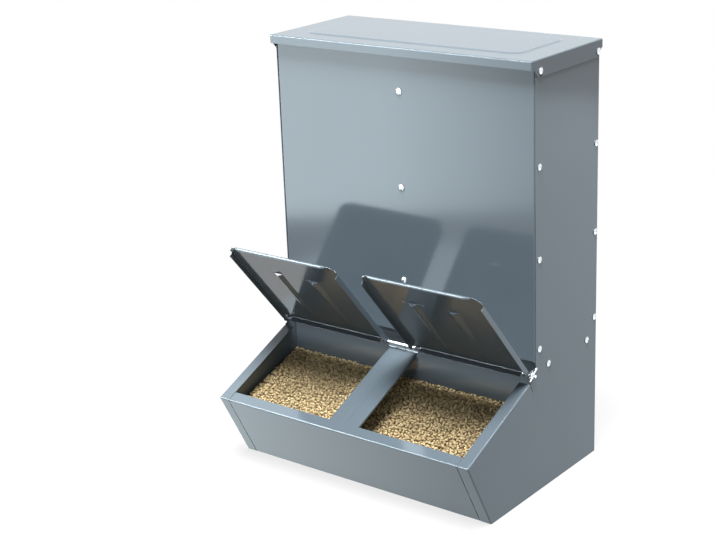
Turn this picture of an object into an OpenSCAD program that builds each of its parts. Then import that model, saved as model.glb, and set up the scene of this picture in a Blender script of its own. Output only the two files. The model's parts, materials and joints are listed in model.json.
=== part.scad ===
// Two-place pig feeder: a tall sheet-steel hopper that feeds an open trough under two hinged lids.
// Millimetres. The origin is the middle of the footprint box on the floor, +Z up, the trough faces -Y.

/* [Hopper] */
// Width over the outer faces of the side panels
body_w = 600; // [500:1:700]
// Depth of the hopper from its front face to its back face
hopper_depth = 224.5; // [210:0.5:260]
// Height of the four panels above the floor
hopper_h = 837.5; // [800:0.5:900]
// Depth of the flanges at the panels' upright corners
corner_flange = 26; // [22:0.5:30]
// Height of the front panel's lower edge above the hinge axis
front_rise = 20; // [18:0.5:24]

/* [Sheet steel] */
// Thickness of every sheet
sheet_t = 1.2; // [1:0.1:1.5]
// Outer radius of every bend
bend_r = 2.4; // [2:0.1:3]
// Gap between sheets that lap
lap_gap = 0.1; // [0.05:0.05:0.2]
// Gap where one sheet stops short of another's flange
stop_gap = 1; // [0.6:0.1:2]

/* [Trough] */
// Reach of the trough lip in front of the hopper
trough_reach = 231; // [215:1:250]
// Reach of the trough floor in front of the hopper
foot_reach = 156.5; // [140:0.5:170]
// Height of the lip
lip_h = 141.5; // [130:0.5:155]
// Height at which the rim line meets the hopper's front face
rim_h = 240; // [225:1:255]
// Width of the folded rim of a side panel
rim_flange = 24; // [18:0.5:28]
// Width of the folded lip of the pan
lip_flange = 24; // [18:0.5:28]
// Width of the open seam between the pan and a side panel's folded edge
seam_w = 1.4; // [0.6:0.1:2.4]
// Width of the doubled strip behind that seam
seam_lap = 14; // [10:1:18]
// Height of the pan's upturned edges
pan_edge = 20; // [14:1:26]
// Length of the relief slit at the back end of the folded rim
slit_l = 22; // [14:1:26]
// Width of the relief slit
slit_w = 1.6; // [1:0.1:2.4]
// Distance of the relief slit in front of the hinge axis
slit_ahead = 6; // [5:0.5:8]

/* [Divider] */
// Width of the trough divider
divider_w = 70; // [60:1:80]
// Depth of the divider's turned-down edges
divider_edge = 5; // [4:0.5:8]
// Width of the divider's centre crease
crease_w = 14; // [10:1:20]
// Depth of the centre crease
crease_depth = 0.8; // [0.5:0.1:2]
// Distance of the divider's back edge in front of the hopper
divider_stop = 9; // [8:0.5:12]
// Height of the turned-up lip at the divider's back edge
divider_lip = 6; // [4:0.5:8]
// Distance of the slit in that lip from the middle
lip_split = 4; // [-8:1:8]
// Width of the slit
lip_slit = 2; // [1:0.5:4]
// Width of the hanger under the divider's back end
hanger_w = 40; // [30:1:50]
// Drop of the hanger's first leg
hanger_drop = 18; // [14:1:24]
// Length of the hanger's leg against the baffle
hanger_leg = 20; // [14:1:26]

/* [Throat] */
// Setback of the baffle behind the hopper's front face
baffle_set = 12; // [10:0.5:14]
// Drop of the baffle's lower edge below the rim line
throat_drop = 74; // [60:1:85]
// Overlap of the baffle above the front panel's lower edge
baffle_lap = 16; // [10:0.5:18]
// Height of the baffle's end ears
ear_h = 26; // [24:0.5:28]
// Drop of the throat screws below the front panel's lower edge
throat_screw_drop = 14.5; // [13.5:0.5:16]
// Distance of the baffle screws behind the hopper's front face
baffle_screw_in = 44; // [38:0.5:50]
// Distance of the ramp screws in front of the hopper's back face
ramp_screw_in = 37; // [36:0.5:42]
// Distance of the ramp's foot in front of the hopper
ramp_foot = 15; // [5:1:30]
// Clearance from the ramp screws' axis up to the ramp
ramp_cover = 10.5; // [9:0.5:13]
// Length of the ramp's toe on the floor and of its upright edge at the back
ramp_edge = 16; // [12:1:22]

/* [Centre brace] */
// Width of the brace's flanges
brace_flange = 32; // [28:1:40]
// Height of the top brace screw below the top of the panels
brace_screw_drop = 85; // [70:1:100]
// Height of the lowest brace screw above the front panel's lower edge
brace_low_rise = 109.4; // [80:0.1:140]
// Number of brace screws in each panel
brace_rows = 3; // [2:1:3]
// Length of the brace past its end screws
brace_tail = 32; // [20:1:40]

/* [Trough lids] */
// Distance of the hinge axis in front of the hopper
hinge_ahead = 14; // [12:0.5:16]
// Distance of the hinge axis above the rim
hinge_rise = 12; // [11:0.5:14]
// Gap between the two lids
lid_between = 60; // [50:1:70]
// Gap between a lid and the outer face of its side panel
lid_side = 2.6; // [2.2:0.1:4]
// Reach of a lid from the hinge axis to its free edge
lid_reach = 264; // [245:1:275]
// Width of the clipped corners at the free edge
clip_w = 18; // [12:1:24]
// Length of the clipped corners
clip_l = 19; // [12:1:24]
// Diameter of the rolled free edge
roll_d = 7; // [5.5:0.5:8]
// Distance from the hinge axis to the lid's turned-down hinge edge
edge_start = 4.6; // [4.5:0.1:6]
// Height of the lid's plate above the hinge axis
plate_rise = 0.45; // [0.3:0.05:1]
// Gap under the turned-down edges when a lid lies parallel to the rim
edge_gap = 1.65; // [1:0.05:3]
// Width of the two tabs that are rolled on the rod
tab_w = 14; // [10:1:20]
// Distance of the tabs from the lid's sides
tab_in = 2.8; // [2.6:0.1:4]
// Spacing of the two pressed darts on a lid
dart_pitch = 90; // [70:1:110]
// Width of a dart at its open end
dart_w = 28; // [24:1:40]
// Depth of a dart at its open end
dart_depth = 5.5; // [4:0.5:7]
// Distance of a dart's point from the hinge axis
dart_near = 17; // [14:1:24]
// Distance of a dart's open end from the hinge axis
dart_far = 190; // [160:1:205]
// Opening angle of the lids above level, as photographed
lid_open = 50; // [20:1:80]

/* [Hinge rod] */
// Diameter of the hinge rod
rod_d = 6; // [5:0.5:7]
// Radial running gap of the knuckles and pivots
run_gap = 0.05; // [0.03:0.01:0.08]
// Radius of the hinge ears on the side panels
hinge_ear_r = 10; // [9:0.5:10.5]
// Length of the rod past the side panels
rod_tail = 8; // [7:0.5:10]
// Thickness of the rod washers
washer_t = 1; // [0.8:0.1:1.4]
// Outer diameter of the rod washers
washer_d = 13; // [12:0.5:16]
// Wire diameter of the split pins
pin_d = 2; // [1.6:0.1:2.4]
// Length of the split pins
pin_l = 27; // [22:1:30]
// Slant of the split pins
pin_slant = 41; // [30:1:60]

/* [Top lid] */
// Overhang of the top lid in front of the hopper
top_front = 16; // [12:0.5:20]
// Overhang of the top lid behind the hopper
top_rear = 11.3; // [10:0.1:14]
// Gap between the top lid's side flanges and the side panels
top_side_gap = 0.6; // [0.4:0.1:1]
// Gap between the top lid and the panels' top edges
top_seat_gap = 0.3; // [0.3:0.1:0.6]
// Gap between the top lid's side flanges and the heads of their bolts
head_gap = 0.4; // [0.3:0.1:1]
// Depth of the top lid's front flange
top_front_flange = 17; // [14:0.5:20]
// Depth of the top lid's side flanges
top_side_flange = 32; // [29:0.5:36]
// Depth of the top lid's rear flange
top_rear_flange = 8; // [6:0.5:8]
// Length of the side flanges' ends before they slope
top_slope_start = 6.8; // [4:0.1:9]
// Length of the sloping ends of the side flanges
top_slope_run = 13.5; // [10:0.5:16]
// Distance of the pressed panel from the sides of the top lid
panel_side = 52; // [40:1:64]
// Distance of the pressed panel from the front and rear of the top lid
panel_end = 41; // [34:1:50]
// Corner radius of the pressed panel
panel_r = 28; // [16:1:34]
// Height of the pressed panel
panel_rise = 2; // [1:0.1:3]
// Width clearance of the latch slots on the front bolts
slot_clear = 2; // [1.6:0.1:3]
// Room left for the lid as it swings over the panels' rear corner
swing_gap = 0.5; // [0.3:0.1:1]

/* [Fasteners] */
// Thread diameter of the screws
screw_d = 6; // [5:0.5:6]
// Diameter of the screw heads
head_d = 12.5; // [11:0.5:13.5]
// Height of the screw heads
head_h = 3.8; // [3:0.1:4.5]
// Radius of the heads' dome
dome_r = 9.5; // [8:0.5:12]
// Width of the cross recess
recess_w = 1.3; // [1:0.1:1.6]
// Length of the cross recess
recess_l = 6.4; // [5:0.1:7]
// Depth of the cross recess
recess_depth = 1.6; // [1:0.1:2]
// Diameter clearance of the screw holes
hole_clear = 0.4; // [0.3:0.1:0.8]
// Width of the nuts across flats
nut_af = 10; // [9:0.5:10.5]
// Height of the nuts
nut_h = 5; // [4:0.5:5.5]
// Diameter clearance of the nuts on their screws
nut_clear = 0.1; // [0.05:0.05:0.2]
// Length of a screw past its nut
screw_tail = 2; // [1:0.5:3]
// Height of the top screws below the top of the panels
top_screw_drop = 19.5; // [19:0.5:22]
// Height of the lowest corner screws above the front panel's lower edge
low_screw_rise = 25; // [23:0.5:30]
// Number of corner screws below each bolt of the top lid
screw_rows = 3; // [2:1:3]
// Distance of the front corner screws behind the hopper's front face
front_screw_in = 12; // [11:0.5:14]
// Distance of the rear corner screws in front of the hopper's back face
rear_screw_in = 8; // [8:0.5:10]

/* [Feed] */
// Angle by which the loose feed lies flatter than the rim
feed_ease = 4.8; // [1:0.1:8]
// Gap between the feed and the sheets round it
feed_gap = 0.4; // [0.3:0.1:1]
// Depth of the feed's surface below the baffle's lower edge
feed_drop = 2; // [1:0.5:8]

/* [Hidden] */
$fn = 48;

enamel = [0.42, 0.47, 0.52];
zinc = [0.80, 0.82, 0.85];
meal = [0.62, 0.50, 0.32];
bend_steps = 5;
cut_past = 1;
fold_root = 4 * bend_r;

// Places along Y
overall_depth = trough_reach + hopper_depth + top_rear;
front_y = trough_reach - overall_depth / 2;
back_y = front_y + hopper_depth;
lip_y = front_y - trough_reach;
foot_y = front_y - foot_reach;
hinge_y = front_y - hinge_ahead;
baffle_y = front_y + baffle_set;

// Places along X
side_x = body_w / 2;
inner_x = side_x - sheet_t - lap_gap;
seam_x = side_x - rim_flange - seam_w;

// Rim plane, hinge axis and throat
rim_angle = atan2(rim_h - lip_h, trough_reach);
rim_end_y = hinge_y - slit_ahead;
hinge_h = rim_at(hinge_y) + hinge_rise / cos(rim_angle);
front_h = hinge_h + front_rise;
throat_screw_h = front_h - throat_screw_drop;
throat_h = rim_h - throat_drop;
lip = [lip_y, lip_h];
foot = [foot_y, 0];

// Screws: holes, clamped thickness, and places as [y, z]
hole_d = screw_d + hole_clear;
grip = 2 * sheet_t + lap_gap;
lid_head_out = top_side_gap + sheet_t + head_gap;
top_screw_h = hopper_h - top_screw_drop;
screw_pitch = (top_screw_h - front_h - low_screw_rise) / screw_rows;
front_screw_y = front_y + front_screw_in;
rear_screw_y = back_y - rear_screw_in;
latch_spots = [[front_screw_y, top_screw_h]];
pivot_spots = [[rear_screw_y, top_screw_h]];
front_spots = [for (row = [1:screw_rows]) [front_screw_y, top_screw_h - row * screw_pitch]];
rear_spots = [for (row = [1:screw_rows]) [rear_screw_y, top_screw_h - row * screw_pitch]];
baffle_spots = [[front_y + baffle_screw_in, throat_screw_h]];
ramp_spots = [[back_y - ramp_screw_in, throat_screw_h]];
brace_top_h = hopper_h - brace_screw_drop;
brace_pitch = (brace_top_h - front_h - brace_low_rise) / (brace_rows - 1);
brace_heights = [for (row = [0:brace_rows - 1]) brace_top_h - row * brace_pitch];

// Feed ramp, from its toe on the floor to the back panel, passing over its own screws
ramp_toe = [front_y - ramp_foot, sheet_t + lap_gap];
ramp_run = ramp_spots[0] - ramp_toe;
ramp_angle = atan2(ramp_run[1], ramp_run[0]) + asin(ramp_cover / norm(ramp_run));
ramp_back_y = back_y - sheet_t - lap_gap;
ramp_top_h = ramp_at(ramp_back_y);
ramp_ear_back = back_y - corner_flange - stop_gap;

// Trough lid in its own frame: hinge axis along X, free edge towards -Y, outer face up; split pins
knuckle_r = rod_d / 2 + run_gap;
plate_low = plate_rise;
plate_top = plate_low + sheet_t;
edge_low = edge_gap - hinge_rise;
lid_in = lid_between / 2;
lid_out = side_x - lid_side;
lid_mid = (lid_in + lid_out) / 2;
pin_x = side_x + lap_gap + washer_t + lap_gap + pin_d / 2;

// Top lid
top_low = hopper_h + top_seat_gap;
top_high = top_low + sheet_t;
top_x = side_x + top_side_gap + sheet_t;
top_front_y = front_y - top_front;
top_rear_y = back_y + top_rear;
pivot_depth = top_screw_drop + top_seat_gap;
swing_h = top_screw_h + sqrt(pow(pivot_depth, 2) - pow(rear_screw_in, 2)) - swing_gap;
back_h = min(hopper_h, swing_h);

// Height of the rim line and of the ramp's underside at a place along Y
function rim_at(y) = rim_h + (y - front_y) * tan(rim_angle);
function ramp_at(y) = ramp_toe[1] + (y - ramp_toe[0]) * tan(ramp_angle);

// Plane geometry
function unit(v) = v / norm(v);
function left_of(v) = [-v[1], v[0]];
function spin(v, a) = [v[0] * cos(a) - v[1] * sin(a), v[0] * sin(a) + v[1] * cos(a)];
function turn(a, b) = atan2(a[0] * b[1] - a[1] * b[0], a * b);
function reversed(list) = [for (i = [len(list) - 1:-1:0]) list[i]];
// Point where the line through p along d meets the line through q along e
function meet(p, d, q, e) =
    p + d * ((q[0] - p[0]) * e[1] - (q[1] - p[1]) * e[0]) / (d[0] * e[1] - d[1] * e[0]);

// A folded sheet seen end on: path is one face, side is +1 where the sheet lies left of it
function bend_arc(before, at, after, side, far) =
    let (
        d = unit(at - before),
        angle = turn(d, unit(after - at)),
        way = sign(angle),
        face_r = way == side ? bend_r : bend_r - sheet_t,
        start = at - d * face_r * tan(abs(angle) / 2),
        centre = start + way * left_of(d) * face_r,
        r = face_r - far * sheet_t * way * side
    )
    [for (i = [0:bend_steps]) centre - spin(way * left_of(d) * r, angle * i / bend_steps)];
function face_line(path, side, far) =
    let (
        last = len(path) - 1,
        shift = far * side * sheet_t
    )
    concat(
        [path[0] + shift * left_of(unit(path[1] - path[0]))],
        [for (i = [1:last - 1]) each bend_arc(path[i - 1], path[i], path[i + 1], side, far)],
        [path[last] + shift * left_of(unit(path[last] - path[last - 1]))]
    );
module sheet(path, side = 1) {
    polygon(concat(face_line(path, side, 0), reversed(face_line(path, side, 1))));
}

// Extrudes an outline drawn in Y and Z along X, centred
module along_x(length) {
    translate([-length / 2, 0, 0]) rotate([90, 0, 90]) linear_extrude(length) children();
}
// Extrudes an outline drawn in X and Z along Y, from y0 to y1
module along_y(y0, y1) {
    translate([0, y1, 0]) rotate([90, 0, 0]) linear_extrude(y1 - y0) children();
}
// Draws on both sides of the object
module both_sides() {
    children();
    mirror([1, 0, 0]) children();
}
// Puts what points up at the origin on the outer face of the right side panel
module at_side(spots) {
    for (spot = spots)
        translate([side_x, spot[0], spot[1]]) rotate([0, 90, 0]) children();
}

// Fasteners: the screw's head stands on the plane z = 0 and its thread goes down
module pan_screw(grip) {
    length = grip + nut_h + screw_tail;
    color(zinc) difference() {
        union() {
            intersection() {
                cylinder(d = head_d, h = head_h);
                translate([0, 0, head_h - dome_r]) sphere(r = dome_r);
            }
            translate([0, 0, -length]) cylinder(d = screw_d, h = length + head_h / 2);
        }
        for (a = [0, 90])
            rotate([0, 0, a]) translate([-recess_l / 2, -recess_w / 2, head_h - recess_depth])
                cube([recess_l, recess_w, recess_depth + cut_past]);
    }
}
module hex_nut(grip) {
    color(zinc) translate([0, 0, -grip - nut_h]) difference() {
        cylinder(d = nut_af / cos(30), h = nut_h, $fn = 6);
        translate([0, 0, -cut_past]) cylinder(d = screw_d + nut_clear, h = nut_h + 2 * cut_past);
    }
}
module side_holes(spots, d) {
    at_side(spots) translate([0, 0, -corner_flange]) cylinder(d = d, h = 2 * corner_flange);
}

// Folded edge of a side panel along the line from a to b, with the panel on its right
module edge_fold(a, b) {
    run = b - a;
    fold = [[0, -fold_root], [0, 0], [-rim_flange, 0]];
    translate([side_x, a[0], a[1]]) rotate([atan2(run[1], run[0]), 0, 0])
        along_y(0, norm(run)) sheet(fold);
}
// Right side panel: hopper side and trough side in one sheet, with hinge ear
module side_panel() {
    up_front = unit(lip - foot);
    up_rim = [cos(rim_angle), sin(rim_angle)];
    front_in = foot - bend_r * left_of(up_front);
    rim_in = lip - bend_r * left_of(up_rim);
    rim_end = [rim_end_y, rim_at(rim_end_y)];
    outline = [
        meet(front_in, up_front, [0, 0], [1, 0]),
        meet(front_in, up_front, rim_in, up_rim),
        meet(rim_in, up_rim, rim_end, [0, 1]),
        rim_end,
        [front_y, rim_h],
        [front_y, hopper_h],
        [rear_screw_y, hopper_h],
        [back_y, back_h],
        [back_y, 0]
    ];
    hinge_link = [
        [hinge_y, hinge_h + hinge_ear_r],
        [hinge_y, rim_at(hinge_y) - bend_r],
        [front_y + bend_r, rim_at(hinge_y) - bend_r],
        [front_y + bend_r, hinge_h + hinge_ear_r]
    ];
    color(enamel) difference() {
        union() {
            translate([side_x - sheet_t / 2, 0, 0]) along_x(sheet_t) polygon(outline);
            translate([side_x - sheet_t / 2, 0, 0]) along_x(sheet_t) polygon(hinge_link);
            translate([side_x - sheet_t, hinge_y, hinge_h]) rotate([0, 90, 0])
                cylinder(r = hinge_ear_r, h = sheet_t);
            edge_fold(lip, rim_end);
            edge_fold(foot, lip);
        }
        translate([side_x, rim_end_y, rim_end[1]]) rotate([rim_angle, 0, 0])
            translate([-2 * rim_flange, -slit_w / 2, -slit_l])
                cube([4 * rim_flange, slit_w, slit_l + bend_r]);
        side_holes([[front_y, hinge_h + hinge_ear_r + bend_r]], 2 * bend_r);
        side_holes([[hinge_y, hinge_h]], rod_d + hole_clear);
        side_holes(concat(latch_spots, front_spots, pivot_spots, rear_spots), hole_d);
        side_holes(concat(baffle_spots, ramp_spots), hole_d);
    }
}
module right_side_panel() { side_panel(); }
module left_side_panel() { mirror([1, 0, 0]) side_panel(); }

// Holes for the brace screws through a panel whose outer face is at y
module brace_holes(y) {
    for (z = brace_heights)
        translate([0, y - corner_flange, z]) rotate([-90, 0, 0]) cylinder(d = hole_d, h = 2 * corner_flange);
}
// Front panel: upright flanges inside the side panels, and a lower edge turned in to the baffle
module front_panel() {
    upright = [
        [-inner_x, front_y + corner_flange], [-inner_x, front_y],
        [inner_x, front_y], [inner_x, front_y + corner_flange]
    ];
    lower = [
        [front_y, front_h + pan_edge], [front_y, front_h],
        [baffle_y - lap_gap, front_h]
    ];
    color(enamel) difference() {
        union() {
            translate([0, 0, front_h + bend_r]) linear_extrude(hopper_h - front_h - bend_r) sheet(upright);
            along_x(2 * (inner_x - bend_r)) sheet(lower);
        }
        both_sides() side_holes(concat(latch_spots, front_spots), hole_d);
        brace_holes(front_y);
    }
}
// Back panel, from the floor to just below the swing of the top lid
module back_panel() {
    upright = [
        [inner_x, back_y - corner_flange], [inner_x, back_y],
        [-inner_x, back_y], [-inner_x, back_y - corner_flange]
    ];
    color(enamel) difference() {
        linear_extrude(back_h) sheet(upright);
        both_sides() side_holes(concat(pivot_spots, rear_spots), hole_d);
        brace_holes(back_y);
    }
}

// Trough pan: lip, sloping front and floor in one sheet, with strips behind the seams
module trough_pan() {
    up_front = unit(lip - foot);
    up_rim = [cos(rim_angle), sin(rim_angle)];
    front_set = foot - lap_gap * left_of(up_front);
    rim_set = lip - lap_gap * left_of(up_rim);
    pan_lip = meet(front_set, up_front, rim_set, up_rim);
    pan_foot = meet(front_set, up_front, [0, 0], [1, 0]);
    back_in = back_y - sheet_t - lap_gap;
    section = [pan_lip + lip_flange * up_rim, pan_lip, pan_foot, [back_in, 0], [back_in, pan_edge]];
    edge_start_y = foot_y + pan_edge;
    edge_end_y = back_y - corner_flange - stop_gap;
    floor_front = foot_y + 2 * bend_r;
    floor_x = inner_x - sheet_t - lap_gap;
    floor_section = [
        [-inner_x, pan_edge], [-inner_x, 0],
        [inner_x, 0], [inner_x, pan_edge]
    ];
    strip_in = -sheet_t * left_of(up_front);
    strip_end = 4 * bend_r * up_front;
    strip = [
        pan_foot + strip_in + strip_end,
        pan_lip + strip_in - strip_end,
        pan_lip + 2 * strip_in - strip_end,
        pan_foot + 2 * strip_in + strip_end
    ];
    strip_w = 2 * seam_lap + seam_w;
    color(enamel) {
        along_x(2 * seam_x) sheet(section);
        along_y(edge_start_y, edge_end_y) sheet(floor_section);
        translate([-floor_x, floor_front, 0]) cube([2 * floor_x, back_in - bend_r - floor_front, sheet_t]);
        both_sides() translate([seam_x + seam_w / 2, 0, 0]) along_x(strip_w) polygon(strip);
    }
}

// Divider: a channel under the lip, running up the rim plane and hung on the baffle
module trough_divider() {
    half = divider_w / 2;
    crease = crease_w / 2;
    sink = sheet_t + 2 * lap_gap;
    channel = [
        [-half, -divider_edge], [-half, 0], [-crease, 0], [0, -crease_depth],
        [crease, 0], [half, 0], [half, -divider_edge]
    ];
    start = lip_y + lip_flange * cos(rim_angle) / 2;
    stop = front_y - divider_stop;
    run = (stop - start) / cos(rim_angle);
    drop = sink / cos(rim_angle);
    hanger_h = rim_at(stop) - drop - hanger_drop;
    end_h = rim_at(stop) - drop;
    lip_root = [stop - hanger_w, rim_at(stop - hanger_w) - drop];
    back_lip = [lip_root, [stop, end_h], [stop, end_h + divider_lip]];
    under = [0, -sheet_t];
    hanger = [
        lip_root + under,
        [stop, end_h] + under,
        [stop, hanger_h],
        [baffle_y - lap_gap, hanger_h],
        [baffle_y - lap_gap, hanger_h - hanger_leg]
    ];
    color(enamel) {
        translate([0, start, rim_at(start) - drop]) rotate([rim_angle, 0, 0])
            along_y(0, run - 2 * bend_r) sheet(channel, -1);
        difference() {
            along_x(divider_w) intersection() {
                sheet(back_lip, -1);
                translate([stop - 2 * bend_r, 0]) square([4 * bend_r, hopper_h]);
            }
            translate([lip_split - lip_slit / 2, stop - bend_r, end_h + cut_past])
                cube([lip_slit, 2 * bend_r, 2 * divider_lip]);
        }
        along_x(hanger_w) sheet(hanger, -1);
    }
}

// Baffle that sets the throat, behind the front panel's lower edge
module throat_baffle() {
    ears = [
        [-inner_x, front_y + baffle_screw_in + nut_af], [-inner_x, baffle_y],
        [inner_x, baffle_y], [inner_x, front_y + baffle_screw_in + nut_af]
    ];
    plate_w = 2 * (inner_x - bend_r);
    color(enamel) difference() {
        union() {
            translate([0, 0, throat_screw_h - ear_h / 2]) linear_extrude(ear_h) sheet(ears);
            translate([-plate_w / 2, baffle_y, throat_h])
                cube([plate_w, sheet_t, front_h + baffle_lap - throat_h]);
        }
        both_sides() side_holes(baffle_spots, hole_d);
    }
}
// Ramp that slides the feed from the back of the hopper to the trough
module feed_ramp() {
    section = [
        [ramp_back_y, ramp_top_h + ramp_edge], [ramp_back_y, ramp_top_h],
        ramp_toe, [ramp_toe[0] - ramp_edge, ramp_toe[1]]
    ];
    ear_front = ramp_spots[0][0] - nut_af - bend_r;
    ear_low = throat_screw_h - nut_af;
    ear = [
        [ear_front, ear_low], [ear_front, ramp_at(ear_front) + sheet_t],
        [ramp_ear_back, ramp_at(ramp_ear_back) + sheet_t], [ramp_ear_back, ear_low]
    ];
    color(enamel) difference() {
        union() {
            along_x(2 * inner_x) sheet(section, -1);
            both_sides() translate([inner_x - sheet_t / 2, 0, 0]) along_x(sheet_t) polygon(ear);
        }
        both_sides() translate([inner_x - sheet_t - stop_gap, ramp_ear_back, 0])
            cube([2 * corner_flange, 2 * corner_flange, hopper_h]);
        both_sides() translate([inner_x - sheet_t - stop_gap, foot_y, 0])
            cube([2 * corner_flange, ramp_toe[0] - foot_y + pan_edge, pan_edge + stop_gap]);
        both_sides() side_holes(ramp_spots, hole_d);
    }
}
// Upright brace between the front and back panels, in the middle of the hopper
module centre_brace() {
    half = brace_flange / 2;
    near = front_y + sheet_t + lap_gap;
    far = back_y - sheet_t - lap_gap;
    section = [[half, near], [-half, near], [-half, far], [half, far]];
    low = brace_heights[brace_rows - 1] - brace_tail;
    color(enamel) difference() {
        translate([0, 0, low]) linear_extrude(brace_heights[0] + brace_tail - low) sheet(section, -1);
        brace_holes(front_y);
        brace_holes(back_y);
    }
}

// Pressed dart of a lid: a shallow V that deepens from its point to its open end
module dart_wedge(lift) {
    length = dart_far - dart_near;
    tilt = asin(dart_depth / length);
    flank = dart_w / 2 / dart_depth;
    height = dart_depth + 2 * sheet_t;
    intersection() {
        translate([0, -dart_near, plate_low + lift]) rotate([tilt, 0, 0]) along_y(-length - cut_past, length)
            polygon([[0, 0], [flank * height, height], [-flank * height, height]]);
        translate([-dart_w, -dart_far, -dart_w]) cube([2 * dart_w, dart_far, 2 * dart_w]);
    }
}
// Right trough lid in its own frame, shut level
module lid_blank() {
    clip_in = lid_reach - clip_l;
    side_start = edge_start + bend_r;
    roll_r = roll_d / 2;
    plate = [
        [lid_in, -side_start], [lid_in, -clip_in],
        [lid_in + clip_w, roll_r - lid_reach], [lid_out - clip_w, roll_r - lid_reach],
        [lid_out, -clip_in], [lid_out, -side_start]
    ];
    edges = [[lid_in, edge_low], [lid_in, plate_top], [lid_out, plate_top], [lid_out, edge_low]];
    rear = [[-edge_start, edge_low], [-edge_start, plate_top], [-edge_start - 4 * bend_r, plate_top]];
    rear_w = lid_out - lid_in - 2 * (tab_in + tab_w + stop_gap);
    tabs = [lid_in + tab_in, lid_out - tab_in - tab_w];
    darts = [lid_mid - dart_pitch / 2, lid_mid + dart_pitch / 2];
    difference() {
        union() {
            difference() {
                translate([0, 0, plate_low]) linear_extrude(sheet_t) polygon(plate);
                for (x = [lid_in - cut_past, lid_out - bend_r])
                    translate([x, -clip_in, 0])
                        cube([bend_r + cut_past, clip_in, 2 * plate_top]);
            }
            along_y(-clip_in, -side_start) sheet(edges, -1);
            translate([lid_mid, 0, 0]) along_x(rear_w) sheet(rear);
            for (x = darts)
                intersection() {
                    translate([x, 0, 0]) dart_wedge(0);
                    translate([0, -lid_reach, -lid_reach]) cube([body_w, lid_reach, lid_reach + plate_top]);
                }
            for (x = tabs) {
                translate([x, -side_start - bend_r, plate_low]) cube([tab_w, side_start + bend_r, sheet_t]);
                translate([x, 0, 0]) rotate([0, 90, 0]) cylinder(r = knuckle_r + sheet_t, h = tab_w);
            }
            translate([lid_in + clip_w, roll_r - lid_reach, plate_top - roll_r]) rotate([0, 90, 0])
                cylinder(r = roll_r, h = lid_out - lid_in - 2 * clip_w);
        }
        for (x = darts)
            translate([x, 0, 0]) dart_wedge(sheet_t);
        rotate([0, 90, 0]) cylinder(r = knuckle_r, h = body_w);
        translate([0, roll_r - lid_reach, plate_top - roll_r]) rotate([0, 90, 0])
            cylinder(r = roll_r - sheet_t, h = body_w);
    }
}
module at_hinge() { translate([0, hinge_y, hinge_h]) children(); }
module right_trough_lid() { color(enamel) at_hinge() rotate([-lid_open, 0, 0]) lid_blank(); }
module left_trough_lid() { mirror([1, 0, 0]) right_trough_lid(); }

// Hinge rod with washers and split pins outside the side panels
module pin_bore(d) {
    translate([pin_x, 0, 0]) rotate([pin_slant - 90, 0, 0]) cylinder(d = d, h = 2 * rod_d, center = true);
}
module hinge_rod() {
    length = body_w + 2 * rod_tail;
    color(zinc) at_hinge() difference() {
        translate([-length / 2, 0, 0]) rotate([0, 90, 0]) cylinder(d = rod_d, h = length);
        both_sides() pin_bore(pin_d + nut_clear);
    }
}
module hinge_washers() {
    color(zinc) both_sides() at_hinge() translate([side_x + lap_gap, 0, 0]) rotate([0, 90, 0]) difference() {
        cylinder(d = washer_d, h = washer_t);
        translate([0, 0, -cut_past]) cylinder(d = rod_d + hole_clear, h = washer_t + 2 * cut_past);
    }
}
module hinge_split_pins() {
    eye_r = pin_d;
    eye_h = pin_l / 2 + eye_r - pin_d / 4;
    color(zinc) both_sides() at_hinge() translate([pin_x, 0, 0]) rotate([pin_slant - 90, 0, 0]) {
        translate([0, 0, -pin_l / 2]) cylinder(d = pin_d, h = pin_l);
        translate([0, 0, eye_h]) rotate([0, 90, 0])
            rotate_extrude() translate([eye_r, 0]) circle(d = pin_d);
    }
}

// Solid block with upright rounded corners, centred on the origin, rising from z = 0
module round_block(w, d, h, r) {
    translate([-w / 2, r - d / 2, 0]) cube([w, d - 2 * r, h]);
    translate([r - w / 2, -d / 2, 0]) cube([w - 2 * r, d, h]);
    for (x = [-1, 1], y = [-1, 1])
        translate([x * (w / 2 - r), y * (d / 2 - r), 0]) cylinder(r = r, h = h);
}
// Top lid: turns on the two rear bolts and drops over the two front ones
module top_lid() {
    length = top_rear_y - top_front_y;
    mid_y = (top_rear_y + top_front_y) / 2;
    side_low = top_high - top_side_flange;
    crosswise = [[-top_x, side_low], [-top_x, top_high], [top_x, top_high], [top_x, side_low]];
    front = [
        [top_front_y, top_high - top_front_flange], [top_front_y, top_high],
        [top_front_y + panel_end, top_high]
    ];
    rear = [
        [top_rear_y - panel_end, top_high], [top_rear_y, top_high],
        [top_rear_y, top_high - top_rear_flange]
    ];
    slope_end = top_slope_start + top_slope_run;
    slope = [
        [0, -2 * top_side_flange], [0, -top_front_flange],
        [top_slope_start, -top_front_flange],
        [slope_end, -top_side_flange], [slope_end, -2 * top_side_flange]
    ];
    panel_w = 2 * (top_x - panel_side);
    panel_d = length - 2 * panel_end;
    slot_d = screw_d + slot_clear;
    color(enamel) difference() {
        union() {
            along_y(top_front_y + bend_r, top_rear_y - bend_r) sheet(crosswise, -1);
            along_x(2 * (top_x - bend_r)) sheet(front, -1);
            along_x(2 * (top_x - bend_r)) sheet(rear, -1);
            translate([0, mid_y, top_low]) round_block(panel_w, panel_d, sheet_t + panel_rise, panel_r);
        }
        translate([0, mid_y, top_low - cut_past])
            round_block(panel_w - 2 * sheet_t, panel_d - 2 * sheet_t, panel_rise + cut_past,
                panel_r - sheet_t);
        translate([0, top_front_y - lap_gap, top_high]) along_x(2 * body_w) polygon(slope);
        translate([0, top_rear_y + lap_gap, top_high]) mirror([0, 1, 0]) along_x(2 * body_w) polygon(slope);
        both_sides() side_holes(pivot_spots, screw_d + 2 * run_gap);
        both_sides() side_holes(latch_spots, slot_d);
        both_sides() translate([side_x, front_screw_y - slot_d / 2, side_low - cut_past])
            cube([corner_flange, slot_d, top_screw_h - side_low + cut_past]);
    }
}

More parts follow.
